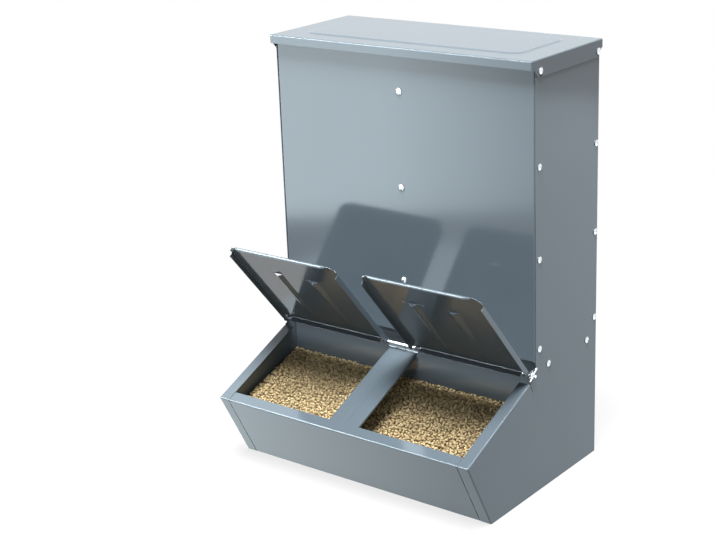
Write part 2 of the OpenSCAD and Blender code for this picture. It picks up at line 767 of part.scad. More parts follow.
// Groups of fasteners
module lid_bolts(spots) {
    both_sides() at_side(spots) translate([0, 0, lid_head_out]) pan_screw(grip + lid_head_out);
}
module side_screws(spots) { both_sides() at_side(spots) pan_screw(grip); }
module side_nuts(spots) { both_sides() at_side(spots) hex_nut(grip); }
module lid_pivot_bolts() { lid_bolts(pivot_spots); }
module lid_pivot_nuts() { side_nuts(pivot_spots); }
module lid_latch_bolts() { lid_bolts(latch_spots); }
module lid_latch_nuts() { side_nuts(latch_spots); }
module front_corner_screws() { side_screws(front_spots); }
module front_corner_nuts() { side_nuts(front_spots); }
module rear_corner_screws() { side_screws(rear_spots); }
module rear_corner_nuts() { side_nuts(rear_spots); }
module baffle_screws() { side_screws(baffle_spots); }
module baffle_nuts() { side_nuts(baffle_spots); }
module ramp_screws() { side_screws(ramp_spots); }
module ramp_nuts() { side_nuts(ramp_spots); }
// Puts what points up at the brace screws, pointing out of the panel at y
module at_brace(y, out) {
    for (z = brace_heights)
        translate([0, y, z]) rotate([out * 90, 0, 0]) children();
}
module front_brace_screws() { at_brace(front_y, 1) pan_screw(grip); }
module front_brace_nuts() { at_brace(front_y, 1) hex_nut(grip); }
module back_brace_screws() { at_brace(back_y, -1) pan_screw(grip); }
module back_brace_nuts() { at_brace(back_y, -1) hex_nut(grip); }

// Loose feed lying in the trough and back to the ramp
module feed_bed() {
    up_front = unit(lip - foot);
    feed_slope = rim_angle - feed_ease;
    up_feed = [cos(feed_slope), sin(feed_slope)];
    up_ramp = [cos(ramp_angle), sin(ramp_angle)];
    wall_in = foot - (2 * sheet_t + 2 * lap_gap + feed_gap) * left_of(up_front);
    ramp_in = ramp_toe + (sheet_t + feed_gap) * left_of(up_ramp);
    low = sheet_t + feed_gap;
    toe_low = ramp_toe[1] + sheet_t + feed_gap;
    surface = [baffle_y, throat_h - feed_drop];
    toe_front = ramp_toe[0] - ramp_edge - feed_gap;
    section = [
        meet(wall_in, up_front, [0, low], [1, 0]),
        [toe_front, low],
        [toe_front, toe_low],
        meet(ramp_in, up_ramp, [0, toe_low], [1, 0]),
        meet(ramp_in, up_ramp, surface, up_feed),
        meet(wall_in, up_front, surface, up_feed)
    ];
    color(meal) along_x(2 * (inner_x - sheet_t - feed_gap)) polygon(section);
}

left_side_panel();
right_side_panel();
front_panel();
back_panel();
trough_pan();
trough_divider();
throat_baffle();
feed_ramp();
centre_brace();
left_trough_lid();
right_trough_lid();
hinge_rod();
hinge_washers();
hinge_split_pins();
top_lid();
lid_pivot_bolts();
lid_pivot_nuts();
lid_latch_bolts();
lid_latch_nuts();
front_corner_screws();
front_corner_nuts();
rear_corner_screws();
rear_corner_nuts();
front_brace_screws();
front_brace_nuts();
back_brace_screws();
back_brace_nuts();
baffle_screws();
baffle_nuts();
ramp_screws();
ramp_nuts();
feed_bed();
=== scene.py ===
"""Looks of a two-place pig feeder in enamelled sheet steel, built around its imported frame.

Lengths are in metres. The trough faces -Y and the feeder stands on the plane Z = 0.
"""

import json
import logging
import math
from dataclasses import dataclass
from enum import Enum
from typing import Callable, Sequence

import bmesh
import bpy
import numpy as np
from mathutils import Matrix, Vector


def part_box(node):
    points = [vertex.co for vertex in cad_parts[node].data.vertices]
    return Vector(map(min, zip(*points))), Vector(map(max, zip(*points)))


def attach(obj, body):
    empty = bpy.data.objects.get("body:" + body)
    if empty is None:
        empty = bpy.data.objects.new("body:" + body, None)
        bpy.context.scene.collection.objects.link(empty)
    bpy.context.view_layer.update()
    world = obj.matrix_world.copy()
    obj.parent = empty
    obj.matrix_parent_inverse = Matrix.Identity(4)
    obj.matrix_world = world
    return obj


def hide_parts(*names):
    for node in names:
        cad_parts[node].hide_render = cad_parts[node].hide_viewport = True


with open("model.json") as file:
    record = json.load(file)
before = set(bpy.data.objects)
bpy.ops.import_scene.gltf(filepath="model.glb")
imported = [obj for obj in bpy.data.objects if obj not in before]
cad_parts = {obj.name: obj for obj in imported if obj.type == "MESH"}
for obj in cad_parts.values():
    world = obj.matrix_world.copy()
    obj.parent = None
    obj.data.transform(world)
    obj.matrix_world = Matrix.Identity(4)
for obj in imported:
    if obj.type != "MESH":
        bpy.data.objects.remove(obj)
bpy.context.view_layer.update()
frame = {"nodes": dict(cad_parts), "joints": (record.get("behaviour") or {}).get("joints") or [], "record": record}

LOG = logging.getLogger("pig_feeder")
Test = Callable[[Vector], bool]
Place = Sequence[float]

START_SIZE = 0.001
TOUCH = 0.00002
FOLD_STEP = 15.0
SMOOTH_ANGLE = math.radians(38.0)
CUT_ANGLE = math.radians(50.0)


class Side(Enum):
    """Left or right half of the feeder, as the sign of X."""

    LEFT = -1
    RIGHT = 1


class Pick(Enum):
    """What a selection in edit mode is made of."""

    VERTS = "VERT"
    EDGES = "EDGE"
    FACES = "FACE"


class Slot(Enum):
    """Material slots of the record."""

    ENAMEL = "enamel"
    ZINC = "zinc"
    FEED = "feed"


def near(first: float, second: float) -> bool:
    """Whether two lengths are the same within the touch distance."""
    return abs(first - second) < TOUCH


def set_down() -> None:
    """Leave edit mode and deselect every object."""
    if bpy.context.mode != "OBJECT":
        bpy.ops.object.mode_set(mode="OBJECT")
    bpy.ops.object.select_all(action="DESELECT")


@dataclass(frozen=True)
class FeederSizes:
    """Sizes that more than one sub-assembly needs.

    The places of faces and of the hinge come from the frame, the rest are the part's own.
    """

    side_x: float
    inner_x: float
    lip_y: float
    front_y: float
    back_y: float
    front_z: float
    back_z: float
    top_z: float
    hinge_y: float
    hinge_z: float
    pivot_y: float
    pivot_z: float
    lip_z: float = 0.1415
    rim_z: float = 0.240
    foot_y: float = -0.1589
    sheet: float = 0.0012
    bend: float = 0.0024
    lap_gap: float = 0.0001
    rim_flange: float = 0.024
    corner_flange: float = 0.026
    baffle_y: float = 0.0096
    throat_z: float = 0.166
    screw_in: float = 0.012
    fold_room: float = 0.0004

    @classmethod
    def from_frame(cls) -> "FeederSizes":
        """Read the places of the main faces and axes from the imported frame.

        Returns:
            The sizes, in metres.
        """
        side_low, side_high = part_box("right_side_panel")
        front_low, front_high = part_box("front_panel")
        joints = {joint["name"]: joint["pos_m"] for joint in frame["joints"]}
        hinge = joints["right_flap_hinge"]
        pivot = joints["hopper_lid_hinge"]
        return cls(
            side_x=side_high.x, inner_x=front_high.x, lip_y=side_low.y, front_y=front_low.y,
            back_y=side_high.y, front_z=front_low.z, back_z=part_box("back_panel")[1].z,
            top_z=side_high.z, hinge_y=hinge[1], hinge_z=hinge[2], pivot_y=pivot[1], pivot_z=pivot[2],
        )

    @property
    def rim_angle(self) -> float:
        """Slope of the trough's rim, in radians."""
        return math.atan2(self.rim_z - self.lip_z, self.front_y - self.lip_y)

    @property
    def up_rim(self) -> Vector:
        """Direction up along the rim."""
        return Vector((0.0, math.cos(self.rim_angle), math.sin(self.rim_angle)))

    @property
    def lip(self) -> Vector:
        """Lip of the trough, on the middle plane."""
        return Vector((0.0, self.lip_y, self.lip_z))

    @property
    def foot(self) -> Vector:
        """Front edge of the trough's floor, on the middle plane."""
        return Vector((0.0, self.foot_y, 0.0))

    @property
    def up_front(self) -> Vector:
        """Direction up along the trough's sloping front."""
        return (self.lip - self.foot).normalized()

    @property
    def front_inward(self) -> Vector:
        """Direction from the trough's sloping front into the trough."""
        up = self.up_front
        return Vector((0.0, up.z, -up.y))

    def rim_at(self, y: float) -> float:
        """Height of the rim line at a place along Y."""
        return self.rim_z + (y - self.front_y) * math.tan(self.rim_angle)


class Sheet:
    """A piece of sheet metal that is drawn, folded, cut and thickened with the editing operators."""

    def __init__(self, name: str) -> None:
        """Name the piece, whose mesh trace, lay_grid or lay_plate then starts."""
        self.name = name
        self.obj: bpy.types.Object | None = None

    def adopt(self) -> None:
        """Take the new primitive as this piece, with its place in its mesh, and enter edit mode."""
        self.obj = bpy.context.active_object
        self.obj.name = self.name
        self.obj.data.name = self.name
        bpy.ops.object.transform_apply(location=True, rotation=True, scale=True)
        bpy.ops.object.mode_set(mode="EDIT")
        bpy.ops.mesh.select_mode(type="VERT")
        bpy.ops.mesh.select_all(action="SELECT")

    def trace(self, points: Sequence[Place], closed: bool = False) -> None:
        """Draw a line through points, and fill it where it is closed.

        Args:
            points: Places that the line passes through.
            closed: Whether the line runs back to its start and is filled with a face.
        """
        places = [Vector(point) for point in points]
        set_down()
        bpy.ops.mesh.primitive_plane_add(size=START_SIZE, location=places[0])
        self.adopt()
        bpy.ops.mesh.merge(type="COLLAPSE")
        for here, there in zip(places, places[1:]):
            bpy.ops.mesh.extrude_vertices_move(TRANSFORM_OT_translate={"value": there - here})
        if closed:
            ends = (places[0], places[-1])
            self.pick(lambda p: any((p - end).length < TOUCH for end in ends), Pick.VERTS)
            bpy.ops.mesh.edge_face_add()
            bpy.ops.mesh.select_all(action="SELECT")
            bpy.ops.mesh.edge_face_add()

    def lay_grid(self, low: Place, high: Place, cells: tuple[int, int]) -> None:
        """Lay a level grid between two corners.

        Args:
            low: Corner with the least X and Y.
            high: Corner with the greatest X and Y, at the same height.
            cells: Number of cells along X and along Y.
        """
        corner = Vector(low)
        span = Vector(high) - corner
        set_down()
        bpy.ops.mesh.primitive_grid_add(
            x_subdivisions=cells[0], y_subdivisions=cells[1], size=1.0, location=corner + span / 2
        )
        bpy.context.active_object.scale = (span.x, span.y, 1.0)
        self.adopt()

    def pick(self, test: Test, kind: Pick = Pick.EDGES) -> None:
        """Select what has all its corners at places that pass a test.

        Args:
            test: Takes a place and says whether it counts.
            kind: What is selected.
        """
        bpy.ops.mesh.select_mode(type=kind.value)
        bpy.ops.mesh.select_all(action="DESELECT")
        mesh = bmesh.from_edit_mesh(self.obj.data)
        found = 0
        parts = {Pick.VERTS: mesh.verts, Pick.EDGES: mesh.edges, Pick.FACES: mesh.faces}[kind]
        for part in parts:
            places = [part.co] if kind is Pick.VERTS else [vert.co for vert in part.verts]
            if all(test(place) for place in places):
                part.select_set(True)
                found += 1
        mesh.select_flush_mode()
        bmesh.update_edit_mesh(self.obj.data)
        if not found:
            raise ValueError(f"{self.name}: nothing lies where the selection looks")

    def pull(self, way: Place, test: Test | None = None) -> None:
        """Extrude edges along a straight way.

        Args:
            way: Direction and length of the pull.
            test: Places of the edges, or None for all.
        """
        if test:
            self.pick(test)
        else:
            bpy.ops.mesh.select_all(action="SELECT")
        bpy.ops.mesh.extrude_edges_move(TRANSFORM_OT_translate={"value": Vector(way)})

    def fold(self, test: Test, radius: float) -> None:
        """Round the folds whose edges lie at places that pass a test.

        Args:
            test: Places of the fold's edges.
            radius: Outer radius of the bend.
        """
        bpy.ops.mesh.select_all(action="SELECT")
        bpy.ops.mesh.normals_make_consistent(inside=False)
        self.pick(test)
        mesh = bmesh.from_edit_mesh(self.obj.data)
        turn = max(edge.calc_face_angle(0.0) for edge in mesh.edges if edge.select)
        bpy.ops.mesh.bevel(
            offset_type="OFFSET", offset=radius * math.tan(turn / 2), profile=0.5, affect="EDGES",
            segments=max(3, round(math.degrees(turn) / FOLD_STEP)), clamp_overlap=False,
        )

    def cut(self, place: Place, normal: Place, test: Test | None = None, trim: bool = False) -> None:
        """Cut faces along a plane.

        Args:
            place: A point on the plane.
            normal: The plane's direction.
            test: Places of the faces that are cut, or None for all.
            trim: Whether what lies on the normal's side is removed.
        """
        if test:
            self.pick(test, Pick.FACES)
        else:
            bpy.ops.mesh.select_all(action="SELECT")
        bpy.ops.mesh.bisect(plane_co=place, plane_no=normal, clear_outer=trim, use_fill=False)

    def drop(self, test: Test) -> None:
        """Delete the faces at places that pass a test."""
        self.pick(test, Pick.FACES)
        bpy.ops.mesh.delete(type="FACE")

    def shift(self, way: Place, test: Test) -> None:
        """Move the vertices at places that pass a test."""
        self.pick(test, Pick.VERTS)
        bpy.ops.transform.translate(value=Vector(way))

    def roll(self, test: Test, centre: Place, angle: float, steps: int) -> None:
        """Roll an edge round an axis along X.

        Args:
            test: Places of the edge.
            centre: A point on the axis.
            angle: How far the sheet rolls, in degrees.
            steps: Number of faces round the roll.
        """
        self.pick(test)
        bpy.ops.mesh.spin(
            steps=steps, angle=math.radians(angle), center=Vector(centre), axis=(1.0, 0.0, 0.0)
        )

    def join(self, *others: "Sheet") -> None:
        """Take other sheets into this one.

        Args:
            others: Finished sheets, whose objects this one swallows.
        """
        set_down()
        for sheet in (self, *others):
            sheet.obj.select_set(True)
        bpy.context.view_layer.objects.active = self.obj
        bpy.ops.object.join()
        bpy.ops.object.mode_set(mode="EDIT")

    def face(self, outward: Place) -> None:
        """Merge doubles and turn the faces so that most of the sheet looks outward.

        Args:
            outward: Direction that the sheet's main face looks in.
        """
        bpy.ops.mesh.select_all(action="SELECT")
        bpy.ops.mesh.remove_doubles(threshold=TOUCH / 2)
        bpy.ops.mesh.normals_make_consistent(inside=False)
        mesh = bmesh.from_edit_mesh(self.obj.data)
        if sum(face.normal.dot(Vector(outward)) * face.calc_area() for face in mesh.faces) < 0.0:
            bpy.ops.mesh.flip_normals()

    def thicken(self, thickness: float, soften: float = 0.0003) -> None:
        """Give the sheet its thickness towards its back, and soften its cut edges.

        Args:
            thickness: Thickness of the sheet.
            soften: Width of the softened edges.
        """
        bpy.ops.object.mode_set(mode="OBJECT")
        bpy.ops.object.modifier_add(type="SOLIDIFY")
        wall = self.obj.modifiers[-1]
        wall.thickness = thickness
        wall.offset = -1.0
        wall.use_even_offset = True
        bpy.ops.object.modifier_apply(modifier=wall.name)
        bpy.ops.object.modifier_add(type="BEVEL")
        edge = self.obj.modifiers[-1]
        edge.width = soften
        edge.segments = 2
        edge.limit_method = "ANGLE"
        edge.angle_limit = CUT_ANGLE
        bpy.ops.object.modifier_apply(modifier=edge.name)
        bpy.ops.object.shade_smooth_by_angle(angle=SMOOTH_ANGLE)
        bpy.ops.object.modifier_add(type="WEIGHTED_NORMAL")
        flat = self.obj.modifiers[-1]
        flat.keep_sharp = True
        bpy.ops.object.modifier_apply(modifier=flat.name)

    def place(self, turn: float, where: Place) -> None:
        """Turn the finished piece about X and put it in its place, all in its mesh.

        Args:
            turn: Angle about X, in radians.
            where: Where the piece's own origin goes.
        """
        set_down()
        self.obj.select_set(True)
        bpy.context.view_layer.objects.active = self.obj
        self.obj.rotation_euler = (turn, 0.0, 0.0)
        self.obj.location = Vector(where)
        bpy.ops.object.transform_apply(location=True, rotation=True, scale=True)


class NodeDesk:
    """Adds and links the nodes of one shader tree."""

    def __init__(self, tree: bpy.types.NodeTree) -> None:
        """Take the tree that the nodes go into."""
        self.tree = tree

    def add(self, kind: str, **settings: object) -> bpy.types.Node:
        """Add a node and set its properties.

        Args:
            kind: Blender's name of the node type.
            settings: Properties of the node.

        Returns:
            The new node.
        """
        node = self.tree.nodes.new(kind)
        for name, value in settings.items():
            setattr(node, name, value)
        return node

    def wire(self, socket: bpy.types.NodeSocket, value: object) -> None:
        """Set or link one input.

        Args:
            socket: The input.
            value: A plain value, or an output socket to link.
        """
        if isinstance(value, bpy.types.NodeSocket):
            self.tree.links.new(value, socket)
        else:
            socket.default_value = value

    def put(self, node: bpy.types.Node, **values: object) -> bpy.types.Node:
        """Set or link a node's inputs, by their names with spaces written as underscores.

        Args:
            node: Node whose inputs are set.
            values: A plain value, or an output socket to link.

        Returns:
            The same node.
        """
        for name, value in values.items():
            self.wire(node.inputs[name.replace("_", " ")], value)
        return node

    def blend(self, share: object, first: object, second: object) -> bpy.types.NodeSocket:
        """Mix two colours.

        Args:
            share: Share of the second colour, a number or a socket.
            first: First colour.
            second: Second colour.

        Returns:
            The mixed colour's socket.
        """
        node = self.add("ShaderNodeMix", data_type="RGBA")
        for socket, value in zip((node.inputs[0], node.inputs[6], node.inputs[7]), (share, first, second)):
            self.wire(socket, value)
        return node.outputs[2]

    def spread(self, value: bpy.types.NodeSocket, low: float, high: float) -> bpy.types.NodeSocket:
        """Map a value from 0 to 1 onto a range.

        Args:
            value: Socket of the value.
            low: What 0 becomes.
            high: What 1 becomes.

        Returns:
            The mapped value's socket.
        """
        node = self.add("ShaderNodeMapRange")
        self.put(node, Value=value, To_Min=low, To_Max=high)
        return node.outputs["Result"]

    def math(self, operation: str, first: object, second: object) -> bpy.types.NodeSocket:
        """Combine two values.

        Args:
            operation: Blender's name of the operation.
            first: First value or socket.
            second: Second value or socket.

        Returns:
            The result's socket.
        """
        node = self.add("ShaderNodeMath", operation=operation)
        for socket, value in zip(node.inputs, (first, second)):
            self.wire(socket, value)
        return node.outputs[0]

    def noise(self, scale: bpy.types.NodeSocket, detail: float) -> bpy.types.NodeSocket:
        """Add a noise pattern that follows the object.

        Args:
            scale: Socket of the pattern's scale.
            detail: Number of finer patterns in it.

        Returns:
            The pattern's socket.
        """
        place = self.add("ShaderNodeTexCoord").outputs["Object"]
        node = self.put(self.add("ShaderNodeTexNoise"), Vector=place, Scale=scale, Detail=detail)
        return node.outputs["Fac"]

    def bump(
        self, height: bpy.types.NodeSocket, distance: float, strength: float = 1.0
    ) -> bpy.types.NodeSocket:
        """Turn a height into a normal.

        Args:
            height: Socket of the height.
            distance: How high a height of 1 stands.
            strength: Share of the bump that shows.

        Returns:
            The normal's socket.
        """
        node = self.put(self.add("ShaderNodeBump"), Height=height, Distance=distance, Strength=strength)
        return node.outputs["Normal"]


class Effects:
    """Shader groups that more than one finish uses."""

    def __init__(self) -> None:
        """Build each group once."""
        self.drift = self._drift()
        self.relief = self._relief()
        self.rub_and_sheen = self._rub_and_sheen()

    @staticmethod
    def _group(name: str, inputs: dict[str, float], outputs: Sequence[str]) -> bpy.types.NodeTree:
        """Make an empty group with value sockets.

        Args:
            name: Name of the group.
            inputs: Names and default values of its inputs.
            outputs: Names of its outputs.

        Returns:
            The group.
        """
        tree = bpy.data.node_groups.new(name, "ShaderNodeTree")
        for label, value in inputs.items():
            socket = tree.interface.new_socket(label, in_out="INPUT", socket_type="NodeSocketFloat")
            socket.default_value = value
        for label in outputs:
            tree.interface.new_socket(label, in_out="OUTPUT", socket_type="NodeSocketFloat")
        return tree

    def _drift(self) -> bpy.types.NodeTree:
        """Draw slow and fine changes of tone over a surface, as a mask from 0 to 1.

        Returns:
            The group.
        """
        tree = self._group("tone_drift", {"Broad": 3.0, "Fine": 60.0, "Share": 0.4}, ["Mask"])
        desk = NodeDesk(tree)
        given = desk.add("NodeGroupInput").outputs
        mixed = desk.add("ShaderNodeMix", data_type="FLOAT")
        desk.wire(mixed.inputs[0], given["Share"])
        desk.wire(mixed.inputs[2], desk.noise(given["Broad"], 2.0))
        desk.wire(mixed.inputs[3], desk.noise(given["Fine"], 4.0))
        clear = desk.add("ShaderNodeMapRange")
        desk.put(clear, Value=mixed.outputs[0], From_Min=0.3, From_Max=0.7)
        desk.put(desk.add("NodeGroupOutput"), Mask=clear.outputs["Result"])
        return tree

    def _relief(self) -> bpy.types.NodeTree:
        """Lay a fine relief over a slow wave, as a height for a bump.

        Returns:
            The group.
        """
        tree = self._group("surface_relief", {"Grain": 400.0, "Wave": 6.0, "Wave Share": 0.5}, ["Height"])
        desk = NodeDesk(tree)
        given = desk.add("NodeGroupInput").outputs
        swell = desk.math("MULTIPLY", desk.noise(given["Wave"], 0.5), given["Wave Share"])
        total = desk.math("ADD", desk.noise(given["Grain"], 1.5), swell)
        desk.put(desk.add("NodeGroupOutput"), Height=total)
        return tree

    def _rub_and_sheen(self) -> bpy.types.NodeTree:
        """Mask the bends and edges, where a finish is thin or rubbed and where the lighter colour is a painted
        highlight along the bends.

        Returns:
            The group.
        """
        tree = self._group("edge_rub_and_sheen", {"Width": 0.002, "Breakup": 90.0}, ["Mask"])
        desk = NodeDesk(tree)
        given = desk.add("NodeGroupInput").outputs
        rounded = desk.put(desk.add("ShaderNodeBevel", samples=4), Radius=given["Width"])
        plain = desk.add("ShaderNodeNewGeometry").outputs["Normal"]
        dot = desk.add("ShaderNodeVectorMath", operation="DOT_PRODUCT")
        desk.wire(dot.inputs[0], rounded.outputs["Normal"])
        desk.wire(dot.inputs[1], plain)
        edge = desk.add("ShaderNodeMapRange")
        desk.put(edge, Value=dot.outputs["Value"], From_Min=0.99, From_Max=0.9)
        patchy = desk.math("MULTIPLY", edge.outputs["Result"], desk.noise(given["Breakup"], 3.0))
        desk.put(desk.add("NodeGroupOutput"), Mask=patchy)
        return tree

    @staticmethod
    def use(desk: NodeDesk, tree: bpy.types.NodeTree, **values: float) -> bpy.types.NodeSocket:
        """Place a group in a material with its own values.

        Args:
            desk: Desk of the material's tree.
            tree: The group.
            values: Values of its inputs, with spaces written as underscores.

        Returns:
            The group's output socket.
        """
        node = desk.add("ShaderNodeGroup", node_tree=tree)
        desk.put(node, **values)
        return node.outputs[0]


def new_material(name: str) -> tuple[bpy.types.Material, NodeDesk, bpy.types.Node]:
    """Start a material with a Principled shader.

    Args:
        name: Name of the material.

    Returns:
        The material, the desk of its tree, and its shader.
    """
    material = bpy.data.materials.new(name)
    material.use_nodes = True
    return material, NodeDesk(material.node_tree), material.node_tree.nodes["Principled BSDF"]


@dataclass(frozen=True)
class EnamelFinish:
    """Blue-grey enamel with light orange peel, whose gloss is all in its clear coat."""

    deep: tuple[float, float, float, float] = (0.146, 0.188, 0.222, 1.0)
    pale: tuple[float, float, float, float] = (0.158, 0.203, 0.240, 1.0)
    # Lighter colour on bends and edges: partly rubbed paint, partly a painted highlight along the bends.
    edge: tuple[float, float, float, float] = (0.22, 0.27, 0.31, 1.0)
    gloss: float = 0.0
    roughness: tuple[float, float] = (0.24, 0.30)
    coat: float = 1.0
    coat_roughness: float = 0.11
    peel_height: float = 0.000003

    def make(self, effects: Effects) -> bpy.types.Material:
        """Build the material.

        Args:
            effects: Shared shader groups.

        Returns:
            The enamel.
        """
        material, desk, shader = new_material("blue_grey_enamel")
        drift = effects.use(desk, effects.drift, Broad=4.0, Fine=140.0, Share=0.2)
        # Bends and edges are painted lighter: partly rubbed paint, partly a painted highlight along the bends.
        rub_and_sheen = effects.use(desk, effects.rub_and_sheen, Width=0.0018, Breakup=70.0)
        tone = desk.blend(drift, self.deep, self.pale)
        worn_and_sheened = desk.blend(rub_and_sheen, tone, self.edge)
        peel = effects.use(desk, effects.relief, Grain=420.0, Wave=5.0, Wave_Share=9.0)
        desk.put(
            shader, Base_Color=worn_and_sheened, Roughness=desk.spread(drift, *self.roughness),
            Specular_IOR_Level=self.gloss, Coat_Weight=self.coat, Coat_Roughness=self.coat_roughness,
            Normal=desk.bump(peel, self.peel_height),
        )
        return material


@dataclass(frozen=True)
class ZincFinish:
    """Bright zinc plating."""

    dull: tuple[float, float, float, float] = (0.80, 0.82, 0.84, 1.0)
    bright: tuple[float, float, float, float] = (0.93, 0.94, 0.95, 1.0)
    # Brighter colour on edges: partly rubbed plating, partly a painted glint.
    edge: tuple[float, float, float, float] = (0.95, 0.96, 0.97, 1.0)
    roughness: tuple[float, float] = (0.2, 0.34)
    grain_height: float = 0.00002

    def make(self, effects: Effects) -> bpy.types.Material:
        """Build the material.

        Args:
            effects: Shared shader groups.

        Returns:
            The zinc plating.
        """
        material, desk, shader = new_material("bright_zinc")
        drift = effects.use(desk, effects.drift, Broad=60.0, Fine=500.0, Share=0.5)
        # Edges are painted brighter: partly rubbed plating, partly a painted glint.
        rub_and_sheen = effects.use(desk, effects.rub_and_sheen, Width=0.0006, Breakup=300.0)
        grain = effects.use(desk, effects.relief, Grain=1500.0, Wave=120.0, Wave_Share=0.5)
        desk.put(
            shader, Base_Color=desk.blend(rub_and_sheen, desk.blend(drift, self.dull, self.bright), self.edge),
            Metallic=1.0, Roughness=desk.spread(drift, *self.roughness),
            Normal=desk.bump(grain, self.grain_height),
        )
        return material


@dataclass(frozen=True)
class FeedFinish:
    """Dry matt feed pellets, each with its own tone."""

    husk: tuple[float, float, float, float] = (0.22, 0.15, 0.07, 1.0)
    meal: tuple[float, float, float, float] = (0.98, 0.79, 0.46, 1.0)
    speck: tuple[float, float, float, float] = (0.70, 0.58, 0.36, 1.0)
    roughness: tuple[float, float] = (0.78, 0.95)
    fleck_from: float = 0.72
    fleck_share: float = 0.45
    grain_height: float = 0.0002
    grain_share: float = 0.8
    attribute: str = "pellet_tone"

    def make(self, effects: Effects) -> bpy.types.Material:
        """Build the material.

        Args:
            effects: Shared shader groups.

        Returns:
            The feed.
        """
        material, desk, shader = new_material("feed_pellets")
        drift = effects.use(desk, effects.drift, Broad=90.0, Fine=900.0, Share=0.6)
        own = desk.add("ShaderNodeAttribute", attribute_name=self.attribute).outputs["Fac"]
        tone = desk.blend(own, self.husk, self.meal)
        spots = desk.math("GREATER_THAN", drift, self.fleck_from)
        flecks = desk.math("MULTIPLY", spots, self.fleck_share)
        grain = effects.use(desk, effects.relief, Grain=1400.0, Wave=300.0, Wave_Share=0.8)
        desk.put(
            shader, Base_Color=desk.blend(flecks, tone, self.speck), Metallic=0.0,
            Roughness=desk.spread(drift, *self.roughness),
            Normal=desk.bump(grain, self.grain_height, self.grain_share),
        )
        return material


class Wardrobe:
    """The finishes of the feeder, each made once."""

    def __init__(self) -> None:
        """Make every finish."""
        effects = Effects()
        self.finishes = {
            Slot.ENAMEL: EnamelFinish().make(effects),
            Slot.ZINC: ZincFinish().make(effects),
            Slot.FEED: FeedFinish().make(effects),
        }

    def dress(self, obj: bpy.types.Object, slot: Slot) -> None:
        """Give an object one finish all over."""
        obj.data.materials.clear()
        obj.data.materials.append(self.finishes[slot])

    def hand_over(self, obj: bpy.types.Object, slot: Slot, body: str, *nodes: str) -> bpy.types.Object:
        """Dress a new piece, set it on its body and hide the nodes that it stands for.

        Args:
            obj: The piece.
            slot: Its material slot.
            body: The body that it rides on.
            nodes: The nodes that it replaces.

        Returns:
            The piece.
        """
        set_down()
        self.dress(obj, slot)
        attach(obj, body)
        if nodes:
            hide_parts(*nodes)
        LOG.info("%s: %d faces on %s", obj.name, len(obj.data.polygons), body)
        return obj


@dataclass
class HopperPanels:
    """Front and back panels of the hopper, each folded into a shallow channel."""

    sizes: FeederSizes
    relief: float = 0.0006
    seam: float = 0.0009

    def _channel(self, name: str, face_y: float, depth: float, low: float, high: float) -> Sheet:
        """Fold an upright channel.

        Args:
            name: Name of the piece.
            face_y: Place of its outer face.
            depth: Depth of its flanges, signed along Y.
            low: Height of its lower edge.
            high: Height of its upper edge.

        Returns:
            The sheet, with its corners still sharp.
        """
        half = self.sizes.inner_x - self.seam
        back = face_y + depth
        sheet = Sheet(name)
        sheet.trace([(-half, back, low), (-half, face_y, low), (half, face_y, low), (half, back, low)])
        sheet.pull((0.0, 0.0, high - low))
        return sheet

    def _round_corners(self, sheet: Sheet, face_y: float) -> None:
        """Round both upright corners of a channel."""
        half = self.sizes.inner_x - self.seam
        sheet.fold(lambda p: near(abs(p.x), half) and near(p.y, face_y), self.sizes.bend)

    def build_front(self) -> bpy.types.Object:
        """Fold the front panel, with its lower edge turned in.

        Returns:
            The front panel.
        """
        sizes = self.sizes
        face_y = sizes.front_y
        low = sizes.front_z
        tongue = sizes.inner_x - self.seam - sizes.bend - self.relief
        sheet = self._channel("hopper_front", face_y, sizes.corner_flange, low, sizes.top_z)

        def on_lower_edge(p: Vector) -> bool:
            """Whether a place is on the line where the lower edge turns in."""
            return abs(p.x) < tongue + TOUCH and near(p.z, low) and near(p.y, face_y)

        for x in (-tongue, tongue):
            sheet.cut((x, 0.0, 0.0), (1.0, 0.0, 0.0))
        sheet.pull((0.0, sizes.baffle_y - sizes.lap_gap - face_y, 0.0), on_lower_edge)
        self._round_corners(sheet, face_y)
        sheet.fold(on_lower_edge, sizes.bend)
        sheet.face((0.0, -1.0, 0.0))
        sheet.thicken(sizes.sheet)
        return sheet.obj

    def build_back(self) -> bpy.types.Object:
        """Fold the back panel.

        Returns:
            The back panel.
        """
        sizes = self.sizes
        sheet = self._channel("hopper_back", sizes.back_y, -sizes.corner_flange, 0.0, sizes.back_z)
        self._round_corners(sheet, sizes.back_y)
        sheet.face((0.0, 1.0, 0.0))
        sheet.thicken(sizes.sheet)
        return sheet.obj


